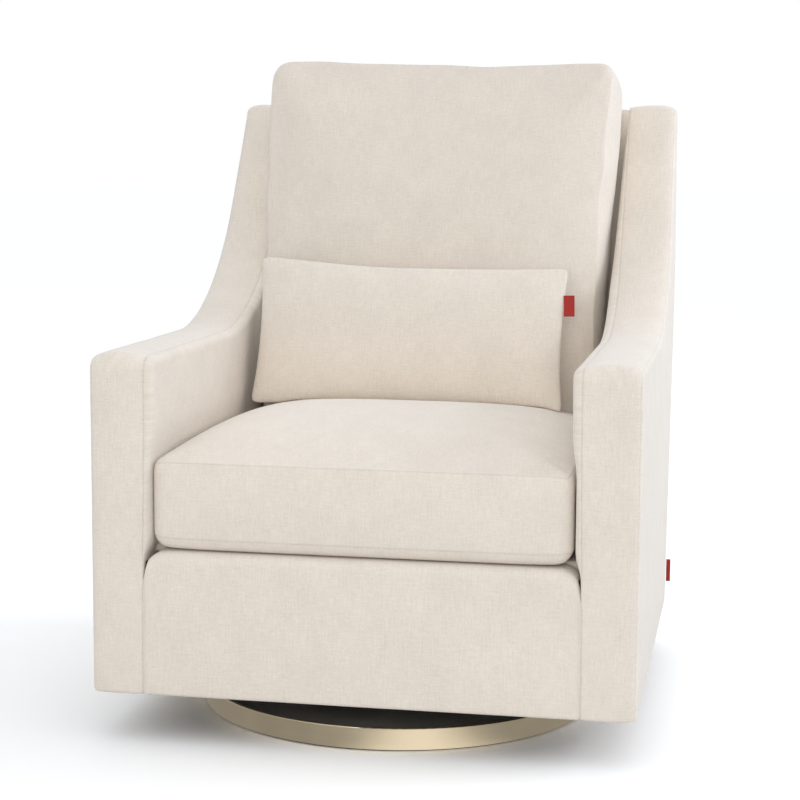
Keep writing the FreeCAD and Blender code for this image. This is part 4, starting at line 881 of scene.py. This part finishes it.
# %% Seat deck
(_, _, deck_foot), (_, deck_rear, deck_top) = box_mm("deck_pad")
DECK_HALF, DECK_FRONT_Y, DECK_SEAM_Y, QUILT_PITCH = 299.3, -256.8, -200.0, 90
sections = []
for x in spaced(-DECK_HALF, DECK_HALF, 22.0, (-298.0, -295.0, 295.0, 298.0)):
    edge = float(smooth_step(abs(x), 293.0, DECK_HALF))
    ys = np.concatenate([[DECK_FRONT_Y, -254.5, -251.0], np.linspace(-244, deck_rear - 8, 30),
                         [deck_rear - 3, deck_rear - 0.4]])
    ends = smooth_step(np.minimum(ys - DECK_FRONT_Y, deck_rear - 0.4 - ys), 8, 0)
    seam = np.exp(-((ys - DECK_SEAM_Y) / 3.0) ** 2)
    quilt = 0.7 * np.cos(ys * 2 * np.pi / QUILT_PITCH) * np.cos(x * 2 * np.pi / QUILT_PITCH)
    top = deck_top - 0.9 - 1.6 * ends - 1.6 * edge - 1.2 * seam + quilt * (1 - edge) * (1 - ends)
    upper = at_x(x, ys, np.minimum(top, deck_top))
    lower = at_x(x, ys, np.full(len(ys), deck_foot))[::-1]
    sections.append(np.concatenate([upper, lower]))
upholster(loft("seat_deck", sections), "chair", "deck_pad", fill=0.6)

# %% [markdown]
# ## Webbing behind the inside back
# Six jute straps run from post to post and carry the back cushion. A strap under a light load hangs through
# a little in the middle, and its weave is coarse, so the strap gets a thickness, rounded edges and a sag.

# %% Back webbing
STRAPS, STRAP_FIRST, STRAP_WIDTH = 6, 160.0, 50.0
STRAP_LAST = BACK_WOOD_TOP - 29.0 - STRAP_WIDTH
STRAP_FRONT, STRAP_REAR, STRAP_SAG = -35.8, -34.1, 1.2
for number in range(STRAPS):
    foot = STRAP_FIRST + (STRAP_LAST - STRAP_FIRST) * number / (STRAPS - 1)
    sections = []
    for x in spaced(-299.0, 299.0, 18.0):
        sag = STRAP_SAG * float(smooth_step(250 - abs(x), 0, 250))
        front, rear, head = STRAP_FRONT + sag, STRAP_REAR + sag, foot + STRAP_WIDTH
        corners = [(front, foot), (front, head), (rear, head), (rear, foot)]
        section = rounded_section([(*corner, 0.5) for corner in corners], steps=2, run=12.0)
        sections.append(lean(at_x(x, section)))
    strap = loft("back_strap_%d" % (number + 1), sections, uv_turn=True)
    dress(strap, "webbing", "chair", "back_webbing")

# %% [markdown]
# ## Dust covers
# Thin black cloth closes the body from below on both sides of the mechanism. It is cut a little larger than
# the opening, folded once at the edge, and stapled to the foot of the frame.

# %% Dust covers
CLOTH_GAP, CLOTH_THICK = 0.3, 0.7
for side_name, side in SIDES:
    low, high = box_mm("dust_cover_" + side_name)
    near, far = min(abs(low[0]), abs(high[0])) + CLOTH_GAP, max(abs(low[0]), abs(high[0])) - CLOTH_GAP
    sections = []
    for x in np.linspace(near, far, 14):
        ys = np.linspace(low[1] + CLOTH_GAP, high[1] - CLOTH_GAP, 44)
        rim = np.minimum(np.minimum(x - near, far - x), np.minimum(ys - ys[0], ys[-1] - ys))
        hang = -0.1 - 1.4 * smooth_step(rim, 4, 60) + 0.4 * np.sin(ys / 31.0) * smooth_step(rim, 2, 30)
        lower = at_x(side * x, ys, high[2] - 0.9 + hang)
        upper = lower[::-1] + (0.0, 0.0, CLOTH_THICK)
        sections.append(np.concatenate([lower, upper]))
    cover = loft("dust_cloth_" + side_name, sections)
    dress(cover, "black_fabric", "chair", "dust_cover_" + side_name)

# %% [markdown]
# ## Cushions that are really inflated
# A cushion is a sewn bag around foam: it bulges where nothing holds it, and its seams pull it in. Cloth
# simulation does this well. The bag starts as a box of even squares with rounded corners, a little smaller
# than the finished cushion. Pressure blows it up for twenty frames with gravity off, while the seams and the
# faces that rest on something are pinned. Then no point may be further than a set distance from its start.
# A box of squares keeps each fabric panel straight, and its seams fall on lines of the mesh.

# %% Bag of squares
def bag_axis(low, high, step, corner, seams=()):
    """Places of the mesh lines along one axis, close together at the corners and at the seams."""
    bend = corner * np.array([0.0, 0.3, 0.62])
    runs = np.linspace(low + corner, high - corner, max(int((high - low - 2 * corner) / step), 2) + 1)
    lines = np.concatenate([low + bend, runs, high - bend])
    for seam in seams:
        lines = np.concatenate([lines[abs(lines - seam) > 3.6], seam + np.array([-2.6, -0.8, 0.0, 0.8, 2.6])])
    return np.unique(lines)


def bag(xs, ys, zs):
    """Points, faces and weave of a closed box of squares, with panels laid out in millimetres."""
    numbers, points, faces, uv = {}, [], [], []

    def number(i, j, k):
        if (i, j, k) not in numbers:
            numbers[(i, j, k)] = len(points)
            points.append((xs[i], ys[j], zs[k]))
        return numbers[(i, j, k)]

    def square(corners, across, up):
        faces.append([number(*c) for c in corners])
        for c in corners:
            spot = (xs[c[0]], ys[c[1]], zs[c[2]])
            uv.append((spot[across], spot[up]))

    nx, ny, nz = len(xs) - 1, len(ys) - 1, len(zs) - 1
    for i in range(nx):
        for j in range(ny):
            square([(i, j, 0), (i, j + 1, 0), (i + 1, j + 1, 0), (i + 1, j, 0)], 0, 1)
            square([(i, j, nz), (i + 1, j, nz), (i + 1, j + 1, nz), (i, j + 1, nz)], 0, 1)
        for k in range(nz):
            square([(i, 0, k), (i + 1, 0, k), (i + 1, 0, k + 1), (i, 0, k + 1)], 0, 2)
            square([(i, ny, k), (i, ny, k + 1), (i + 1, ny, k + 1), (i + 1, ny, k)], 0, 2)
    for j in range(ny):
        for k in range(nz):
            square([(0, j, k), (0, j, k + 1), (0, j + 1, k + 1), (0, j + 1, k)], 1, 2)
            square([(nx, j, k), (nx, j + 1, k), (nx, j + 1, k + 1), (nx, j, k + 1)], 1, 2)
    return np.array(points, float), faces, uv


def border_seams(places, seams, on_border):
    """How far each point is from the nearest seam, and how strongly that seam marks it."""
    gap = np.min([abs(places - seam) for seam in seams], axis=0)
    return gap, np.where(gap < 0.2, 1.0, np.where(gap < 1.0, 0.4, 0.0)) * on_border


def round_corners(points, low, high, radius):
    """Pulls the corners of a box of points on to an ellipsoid's radii."""
    low, high, radius = (np.array(v, float) for v in (low, high, radius))
    core = np.clip(points, low + radius, high - radius)
    away = (points - core) / radius
    length = np.maximum(np.linalg.norm(away, axis=1), 1e-9)[:, None]
    return core + away / length * np.minimum(length, 1.0) * radius

# %% Inflating
def points_of(piece):
    points = np.empty((len(piece.data.vertices), 3), np.float32)
    piece.data.vertices.foreach_get("co", points.ravel())
    return points.astype(float) / MM


def set_points(piece, points):
    piece.data.vertices.foreach_set("co", (np.asarray(points) * MM).astype(np.float32).ravel())
    piece.data.update()


def apply_modifiers(piece):
    evaluated = piece.evaluated_get(bpy.context.evaluated_depsgraph_get())
    mesh = bpy.data.meshes.new_from_object(evaluated)
    piece.modifiers.clear()
    old = piece.data
    piece.data = mesh
    bpy.data.meshes.remove(old)
    mesh.name = piece.name


FRAMES = 20


def inflate(piece, pressure, cap, pinned, bending=0.5):
    """Blows the bag up while the pinned points are held, and keeps each point within the cap of its start."""
    start = points_of(piece)
    hold = piece.vertex_groups.new(name="hold")
    for i in np.nonzero(pinned > 0.01)[0]:
        hold.add([int(i)], float(min(pinned[i], 1.0)), "REPLACE")
    cloth = piece.modifiers.new("cloth", "CLOTH")
    values = {"quality": 5, "mass": 0.3, "tension_stiffness": 15, "compression_stiffness": 15,
              "bending_stiffness": bending, "use_pressure": True, "uniform_pressure_force": pressure,
              "vertex_group_mass": "hold"}
    for key, value in values.items():
        setattr(cloth.settings, key, value)
    cloth.settings.effector_weights.gravity = 0.0
    cloth.collision_settings.use_collision = False
    cloth.point_cache.frame_start = 1
    cloth.point_cache.frame_end = FRAMES
    for step in range(1, FRAMES + 1):
        scene.frame_set(step)
    apply_modifiers(piece)
    scene.frame_set(1)
    piece.vertex_groups.clear()
    move = points_of(piece) - start
    length = np.maximum(np.linalg.norm(move, axis=1), 1e-6)[:, None]
    print(piece.name, "swelled by up to", round(float(length.max()), 1), "mm")
    return start + move * np.minimum(1.0, cap / length)

# %% [markdown]
# ## The seat cushion
# A boxed cushion has a top panel, a bottom panel and a border strip between them. The two seams around the
# border are what the eye reads as the cushion's shape. The top panel is crowned: high in the middle, and
# still a little raised at the arms. In front the cushion rests on the rail, so its foot sags on to it.

# %% Seat cushion
DECK_Z = 270.1
SEAT_LOW, SEAT_HIGH = (-288.0, -302.0, DECK_Z), (284.8, 231.0, DECK_Z + 125.0)
SEAT_ROUND = (22.0, 15.0, 21.0)
SEAT_SEAMS = (DECK_Z + 14.5, DECK_Z + 121.0)
SEAT_SQUARE, SEAT_CROWN = 9.5, 34.0
RAIL_REST = (-262, -285)            # between these depths the cushion's foot sags on to the rail
axes = [bag_axis(SEAT_LOW[i], SEAT_HIGH[i], SEAT_SQUARE, SEAT_ROUND[i], SEAT_SEAMS if i == 2 else ())
        for i in range(3)]
points, faces, uv = bag(*axes)
lattice = points.copy()
low, high = np.array(SEAT_LOW), np.array(SEAT_HIGH)
across = np.clip(abs((points[:, 0] - (low + high)[0] / 2) / ((high - low)[0] / 2)), 0, 1)
deep = np.clip(abs((points[:, 1] - (low + high)[1] / 2 - 6) / ((high - low)[1] / 2 - 2)), 0, 1)
points = round_corners(points, SEAT_LOW, SEAT_HIGH, SEAT_ROUND)
crown = SEAT_CROWN * (1 - 0.80 * across ** 3.6) * (1 - deep ** 2.3)
points[:, 2] += crown * smooth_step(lattice[:, 2], DECK_Z + 98, DECK_Z + 125)
front_bulge = (1 - across ** 4) * np.clip(1 - ((lattice[:, 2] - DECK_Z - 62) / 62) ** 2, 0, 1)
points[:, 1] -= 3.0 * front_bulge * smooth_step(lattice[:, 1], -250, SEAT_LOW[1])
sag = smooth_step(points[:, 1], *RAIL_REST) * smooth_step(points[:, 2], DECK_Z + 26, DECK_Z) * \
    (1 - across ** 10)
points[:, 2] -= 3.6 * sag
seat = new_piece("seat_cushion_bag", points, faces, uv)
on_border = (lattice[:, 2] > DECK_Z + 1) & (lattice[:, 2] < SEAT_HIGH[2] - 0.5)
seam_gap, mark = border_seams(lattice[:, 2], SEAT_SEAMS, on_border)
sides = np.isclose(lattice[:, 0], low[0]) | np.isclose(lattice[:, 0], high[0])
pinned = np.clip(smooth_step(seam_gap, 5, 1) * 0.95 * on_border + smooth_step(points[:, 2], DECK_Z + 6, DECK_Z)
                 + 0.6 * sides, 0, 1)
points = inflate(seat, 4.0, 9.0, pinned)
points[:, 0] = np.clip(points[:, 0], -289.0, 288.4)
points[:, 2] = np.maximum(points[:, 2], DECK_Z - 4.0 * smooth_step(points[:, 1], *RAIL_REST))
inward = np.column_stack([-np.sign(lattice[:, 0]) * sides, 0 * mark, 0 * mark])
set_points(seat, points + inward * mark[:, None] * 0.8)
mark_seams(seat, mark)
upholster(seat, "seat_cushion", "seat_cushion", fill=0.9)

# %% [markdown]
# ## The back cushion
# A loose back cushion is never quite in the middle. This one leans on the padded back, is a little nearer to
# the left wing, and is narrower below, where its own weight presses it together. Its front panel is sewn to a
# border strip, and that seam shows along its right edge. It is made standing upright, as (across, depth,
# height), and leaned back at the end.

# %% Back cushion
BACK_LOW, BACK_HIGH = (-289.0, 0.0, 189.5), (289.0, 148.0, 858.0)
BACK_ROUND = (20.0, 17.0, 25.0)
BACK_SEAMS = (139.0, 9.0)
BACK_SQUARE, BACK_CROWN = 10.5, 30.0
BAG_BACK_W = -56.6                  # depth of the bag's rear behind the outside back
axes = [bag_axis(BACK_LOW[i], BACK_HIGH[i], BACK_SQUARE, BACK_ROUND[i], BACK_SEAMS if i == 1 else ())
        for i in range(3)]
points, faces, uv = bag(*axes)
lattice = points.copy()
across = points[:, 0] / BACK_HIGH[0]
up = (points[:, 2] - BACK_LOW[2]) / (BACK_HIGH[2] - BACK_LOW[2])
front = points[:, 1] / BACK_HIGH[1]
points = round_corners(points, BACK_LOW, BACK_HIGH, BACK_ROUND)
crown = BACK_CROWN * (1 - abs(across) ** 2.6) * (1 - abs(2 * up - 0.96) ** 2.6)
points[:, 1] += np.maximum(crown, 0) * smooth_step(front, 0.86, 1.0)
height_at = lattice[:, 2]
right_front = np.interp(height_at, [190, 500, 640, 690, 750, 800, 840], [262, 257, 257, 261, 264, 268, 273])
right_side = np.interp(height_at, [190, 490, 540, 600, 650, 730, 800], [266, 264, 266, 269, 271, 277, 279])
left_front = np.interp(height_at, [190, 400, 510, 610, 700, 800, 850], [278, 282, 285, 288, 291, 291, 288])
left_side = np.interp(height_at, [190, 600, 860], [272, 275, 281])
half_right = right_side + (right_front - right_side) * smooth_step(front, 0.55, 1.0)
half_left = left_side + (left_front - left_side) * smooth_step(front, 0.35, 0.9)
points[:, 0] *= np.where(points[:, 0] > 0, half_right, half_left) / BACK_HIGH[0]
top_rise = np.interp(points[:, 0], [-290, -262, -200, -90, 60, 170, 270], [-1, 6.5, 6, 1.5, -2.5, 0.5, 2.5])
points[:, 2] += top_rise * smooth_step(up, 0.8, 1.0)
wander = waves(lattice * (0.0, 0.35, 1.0), 1.0, 150.0)
points[:, 0] += 2.4 * wander * smooth_step(abs(across), 0.93, 1.0)
points[:, 2] += waves(lattice * (1.0, 0.3, 0.0), 1.6, 210.0) * smooth_step(up, 0.93, 1.0)

faces = [face[::-1] for face in faces]
uv = [pair for i in range(0, len(uv), 4) for pair in uv[i:i + 4][::-1]]
leaning = lean(np.column_stack([points[:, 0], BAG_BACK_W - points[:, 1], points[:, 2]]))
back = new_piece("back_cushion_bag", leaning, faces, uv)
on_border = (lattice[:, 1] > 1) & (lattice[:, 1] < BACK_HIGH[1] - 0.5)
seam_gap, mark = border_seams(lattice[:, 1], BACK_SEAMS, on_border)
pinned = np.clip(smooth_step(seam_gap, 5, 1) * 0.9 * on_border + smooth_step(points[:, 1], 8, 1)
                 + smooth_step(up, 0.05, 0.01), 0, 1)
points = inflate(back, 4.0, 9.0, pinned)
depth_behind = behind(points[:, 1], points[:, 2])
over = np.maximum(depth_behind - BAG_BACK_W, 0)
points[:, 1] -= over * math.cos(LEAN)
points[:, 2] += over * math.sin(LEAN)
(arm_end, arm_top), (wing_end, wing_top) = ARM_CORNERS[2][:2], ARM_CORNERS[3][:2]
wing_front_y = arm_end + (points[:, 2] - arm_top) * (wing_end - arm_end) / (wing_top - arm_top)
beside_wing = smooth_step(points[:, 1], wing_front_y - 6, wing_front_y + 12)
limit = 294.0 + (face_x(points[:, 2]) - 1.0 - 294.0) * beside_wing
points[:, 0] = np.clip(points[:, 0], -limit, limit)
points[:, 2] = np.maximum(points[:, 2], DECK_Z)
set_points(back, points)
mark_seams(back, mark)
upholster(back, "back_cushion", "back_cushion", fill=0.85)

# %% [markdown]
# ## The lumbar pillow
# The pillow has no border: two equal panels meet in one seam all round, like a knife edge. Its corners are
# pulled out a little and its sides curve in between them. It starts as a flat lens of squares with a narrow
# sewn rim, and pressure fills the middle. Where it would sink into the seat cushion, it is pressed flat.

# %% Lumbar pillow
PILLOW_LEAN = math.radians(17.0)
PILLOW_TILT = math.radians(0.35)
PILLOW_HALF, PILLOW_HEIGHT, PILLOW_X, PILLOW_FOOT = 246.0, 232.0, -24.0, (150.0, 409.5)
CORNER_ROUND, EAR, LENS = 15.0, 8.5, 43.0


def even(count):
    """Places from -1 to 1, closer together at both ends."""
    t = np.linspace(-1, 1, count)
    return np.sign(t) * (1 - (1 - abs(t)) ** 1.25)


us, vs = even(57), even(31)


def on_face(i, j, face_side):
    """A point's name: the two panels share their rim, where it is on no face."""
    rim = i in (0, len(us) - 1) or j in (0, len(vs) - 1)
    return i, j, 0 if rim else face_side


points, faces, uv, numbers = [], [], [], {}
for face_side in (1, -1):
    for j, v in enumerate(vs):
        for i, u in enumerate(us):
            key = on_face(i, j, face_side)
            if key not in numbers:
                numbers[key] = len(points)
                points.append((u, v, float(key[2])))
for face_side in (1, -1):
    for j in range(len(vs) - 1):
        for i in range(len(us) - 1):
            around = [(i, j), (i + 1, j), (i + 1, j + 1), (i, j + 1)][::face_side]
            faces.append([numbers[on_face(a, b, face_side)] for a, b in around])
            uv += [(us[a] * PILLOW_HALF, vs[b] * PILLOW_HEIGHT / 2 + face_side * 300) for a, b in around]
points = np.array(points)
u, v, way = points.T
corner_pull = abs(u) ** 3 * abs(v) ** 3
half_width = PILLOW_HALF - 6.0 * (1 - v ** 2) + 2.0 * corner_pull
half_height = PILLOW_HEIGHT / 2 - 5.5 * (1 - abs(u) ** 2.5)
flat_x, flat_v = u * half_width, v * half_height
core_x, core_v = half_width - CORNER_ROUND, half_height - CORNER_ROUND
beyond_x, beyond_v = np.maximum(abs(flat_x) - core_x, 0), np.maximum(abs(flat_v) - core_v, 0)
reach = np.hypot(beyond_x, beyond_v)
widest = np.maximum(np.maximum(beyond_x, beyond_v), 1e-9)
shrink = np.where(reach > 0, widest / np.maximum(reach, 1e-9), 1.0)
in_corner = (beyond_x > 0) & (beyond_v > 0)
flat_x = np.where(in_corner, np.sign(flat_x) * (core_x + beyond_x * shrink), flat_x)
flat_v = np.where(in_corner, np.sign(flat_v) * (core_v + beyond_v * shrink), flat_v)
flat_v = flat_v + EAR * smooth_step(-u, 0.1, 1.0) * smooth_step(v, -0.2, 1.0)
body = (1 - abs(u) ** 2.6) ** 0.62 * (1 - abs(v) ** 2.4) ** 0.62
thick = way * (1.0 + LENS * body)


def stand_pillow(local_x, local_v, local_t):
    """From the pillow's own plane to the chair, where it leans back on its lower edge."""
    up = local_v + PILLOW_HEIGHT / 2
    side = local_x * math.cos(PILLOW_TILT) + up * math.sin(PILLOW_TILT)
    up = up * math.cos(PILLOW_TILT) - local_x * math.sin(PILLOW_TILT)
    return np.column_stack([PILLOW_X + side,
                            PILLOW_FOOT[0] + up * math.sin(PILLOW_LEAN) - local_t * math.cos(PILLOW_LEAN),
                            PILLOW_FOOT[1] + up * math.cos(PILLOW_LEAN) + local_t * math.sin(PILLOW_LEAN)])


pillow = new_piece("lumbar_pillow_bag", stand_pillow(flat_x, flat_v, thick), faces, uv)
rim_share = np.maximum(smooth_step(abs(u), 0.975, 1.0), smooth_step(abs(v), 0.95, 1.0))
points = inflate(pillow, 3.0, 11.0, np.clip(rim_share * 0.9, 0, 1), bending=0.2)
NEAR_SEAT_Z, RAY_START = 470, 0.55
cushion_now = seat.evaluated_get(bpy.context.evaluated_depsgraph_get())
for i, (x, y, z) in enumerate(points):
    if z < NEAR_SEAT_Z:
        hit, spot, _, _ = cushion_now.ray_cast(Vector((x * MM, y * MM, RAY_START)), Vector((0, 0, -1)))
        if hit:
            points[i, 2] = max(z, spot.z / MM + 0.8)
set_points(pillow, points)
mark_seams(pillow, np.where(way == 0, 0.5, 0.0))
upholster(pillow, "lumbar_pillow", "lumbar_pillow", fill=0.8)

# %% [markdown]
# ## Ribbon tabs
# Two short red ribbons are sewn into seams, one in the pillow's right edge and one low on the outside of the
# right arm. Each is a strip folded in half, so it has two thin layers and a round fold at its free end. A
# darker line runs along its edges, where the ribbon is woven more tightly. Both are left blank.

# %% Tabs
def ribbon(name, width, height, thickness=1.1):
    """A folded ribbon in its own plane: across from the seam, up along the seam, and out of the cloth."""
    sections = []
    half, fold = thickness / 2, thickness * 0.45
    for up in np.array([0.0, 0.02, 0.05, 0.3, 0.5, 0.7, 0.95, 0.98, 1.0]) * height:
        corners = [(0.0, -half, 0.0), (width, -half, fold), (width, half, fold), (0.0, half, 0.0)]
        section = rounded_section(corners, steps=4, run=1.6)
        sections.append(np.column_stack([section[:, 0], np.full(len(section), up), section[:, 1]]))
    piece = loft(name, sections)
    points = points_of(piece)
    edge = np.minimum(np.minimum(points[:, 1], height - points[:, 1]), width - points[:, 0])
    mark_seams(piece, smooth_step(edge, 1.6, 0.4) * 1.6)
    return piece, points


TAB_WIDTH, TAB_HEIGHT, TAB_X, TAB_UP = 16.5, 33.0, 217.5, 153.5
tab, local = ribbon("pillow_tab_ribbon", TAB_WIDTH, TAB_HEIGHT)
turn = math.radians(3.0)
across = TAB_X - PILLOW_X + local[:, 0] * math.cos(turn) - local[:, 1] * math.sin(turn)
up = TAB_UP - PILLOW_HEIGHT / 2 + local[:, 1] * math.cos(turn) + local[:, 0] * math.sin(turn)
set_points(tab, stand_pillow(across, up, 4.0 - 0.12 * local[:, 0] + local[:, 2]))
weave_map(tab.data)
dress(tab, "red_tab", "lumbar_pillow", "pillow_tab")

LONGER, TALLER = 5.5, 6.0           # the ribbon is a little larger than the CAD's plain tab
tab_low, tab_high = box_mm("side_tab")
tab, local = ribbon("side_tab_ribbon", tab_high[0] - tab_low[0] + LONGER, tab_high[2] - tab_low[2] + TALLER)
set_points(tab, np.column_stack([tab_low[0] + local[:, 0], (tab_low[1] + tab_high[1]) / 2 - local[:, 2],
                                 tab_low[2] + local[:, 1]]))
weave_map(tab.data)
dress(tab, "red_tab", "chair", "side_tab")

# %% [markdown]
# ## Geometry Nodes for what repeats
# Four equal coil springs and a row of staples are rules, not shapes: a wire that turns around an axis, and a
# small clip every few centimetres along an edge. A node tree states such a rule once, with its sizes as named
# inputs. At the end Realize Instances turns the copies into real faces, because the export drops instances,
# and Set Material gives them their finish. The evaluated result then becomes a plain mesh.

# %% Helpers for geometry nodes
def new_geometry_tree(name, sizes):
    """A tree with a geometry input, one input for each named size, and a geometry output."""
    tree = bpy.data.node_groups.new(name, "GeometryNodeTree")
    tree.interface.new_socket("Geometry", in_out="INPUT", socket_type="NodeSocketGeometry")
    tree.interface.new_socket("Geometry", in_out="OUTPUT", socket_type="NodeSocketGeometry")
    for size in sizes:
        kind = "NodeSocketInt" if isinstance(sizes[size], int) else "NodeSocketFloat"
        tree.interface.new_socket(size, in_out="INPUT", socket_type=kind)
    return tree, tree.nodes.new("NodeGroupInput").outputs


def finish_tree(tree, instances, material):
    real = add_node(tree, "GeometryNodeRealizeInstances", {0: instances})
    dressed = add_node(tree, "GeometryNodeSetMaterial", {"Geometry": real.outputs[0], "Material": material})
    add_node(tree, "NodeGroupOutput", {0: dressed.outputs[0]})


def grow(piece, tree, sizes):
    """Runs a tree on a piece with the given sizes, and keeps the result as a plain mesh."""
    modifier = piece.modifiers.new("grow", "NODES")
    modifier.node_group = tree
    for socket in tree.interface.items_tree:
        if socket.in_out == "INPUT" and socket.name in sizes:
            modifier[socket.identifier] = sizes[socket.name]
    apply_modifiers(piece)
    piece.data.polygons.foreach_set("use_smooth", [True] * len(piece.data.polygons))

# %% [markdown]
# ## Rocking springs
# The four springs stand between two rows of cups. When the chair rocks, their upper ends go with it and their
# lower ends stay with the swivel, so each coil bends and shortens.

# %% Rocking springs
low, high = (np.array(v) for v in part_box("rocker_springs"))
COIL = {"Coil radius": 0.01925, "Wire radius": 0.00275, "Turns": 5.5, "Steps in a turn": 26}
COIL["Height"] = float(high[2] - low[2]) - 2 * COIL["Wire radius"]
tree, given = new_geometry_tree("coil_springs", COIL)
spiral = add_node(tree, "GeometryNodeCurveSpiral", {
    "Resolution": maths(tree, "MULTIPLY", given["Steps in a turn"], 1.0), "Rotations": given["Turns"],
    "Start Radius": given["Coil radius"], "End Radius": given["Coil radius"], "Height": given["Height"]})
wire = add_node(tree, "GeometryNodeCurvePrimitiveCircle", {"Resolution": 14, "Radius": given["Wire radius"]})
coil = add_node(tree, "GeometryNodeCurveToMesh", {
    "Curve": spiral.outputs[0], "Profile Curve": wire.outputs[0], "Fill Caps": True})
placed = add_node(tree, "GeometryNodeInstanceOnPoints", {
    "Points": given["Geometry"], "Instance": coil.outputs[0]})
finish_tree(tree, placed.outputs[0], finish["plain_steel"])

reach = COIL["Coil radius"] + COIL["Wire radius"]
places = [(x, y, low[2] + COIL["Wire radius"]) for x in (low[0] + reach, high[0] - reach)
          for y in (low[1] + reach, high[1] - reach)]
springs = new_piece("rocker_coils", np.array(places) / MM, [])
grow(springs, tree, COIL)
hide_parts("rocker_springs")
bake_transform(springs)
print("coils:", len(springs.data.polygons), "faces")
spots = points_of(springs)
print("coils", spots.min(0).round(1), spots.max(0).round(1), "CAD springs", *(v.round(1) for v in
                                                                              box_mm("rocker_springs")))

# %% [markdown]
# ## Staples
# Dust covers are closed with a staple gun, one staple every few centimetres, a little inside the edge. The
# tree walks along a rectangle of edges and puts a small bar at equal steps, turned along the way.

# %% Staples
STAPLES = {"Pitch": 0.038, "Crown": 0.0115, "Wire": 0.0009}
STAPLE_INSET = 6.0
tree, given = new_geometry_tree("staple_rows", STAPLES)
way = add_node(tree, "GeometryNodeMeshToCurve", {0: given["Geometry"]})
marks = add_node(tree, "GeometryNodeCurveToPoints", {"Curve": way.outputs[0], "Length": given["Pitch"]},
                 mode="LENGTH")
turned = add_node(tree, "FunctionNodeAlignRotationToVector", {"Vector": marks.outputs["Tangent"]}, axis="X")
size = add_node(tree, "ShaderNodeCombineXYZ", {0: given["Crown"], 1: given["Wire"], 2: given["Wire"]})
bar = add_node(tree, "GeometryNodeMeshCube", {"Size": size.outputs[0]})
placed = add_node(tree, "GeometryNodeInstanceOnPoints", {
    "Points": marks.outputs["Points"], "Instance": bar.outputs["Mesh"], "Rotation": turned.outputs[0]})
finish_tree(tree, placed.outputs[0], finish["plain_steel"])

for side_name in ("left", "right"):
    low, high = box_mm("dust_cover_" + side_name)
    x0, y0, _ = low + STAPLE_INSET
    x1, y1, _ = high - STAPLE_INSET
    z = high[2] - 1.5
    edges = bpy.data.meshes.new("staples_" + side_name)
    corners = np.array([(x0, y0, z), (x1, y0, z), (x1, y1, z), (x0, y1, z)]) * MM
    edges.from_pydata(corners.tolist(), [(0, 1), (1, 2), (2, 3), (3, 0)], [])
    staples = bpy.data.objects.new("staples_" + side_name, edges)
    scene.collection.objects.link(staples)
    grow(staples, tree, STAPLES)
    dress(staples, "plain_steel", "chair")

# %% [markdown]
# ## Measure
# The fabric may stand a little proud of the CAD solids. The box of all that is shown is printed.

# %% Sizes and finish
low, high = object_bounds()
print("visual box:", [round(v, 3) for v in (*low, *high)])
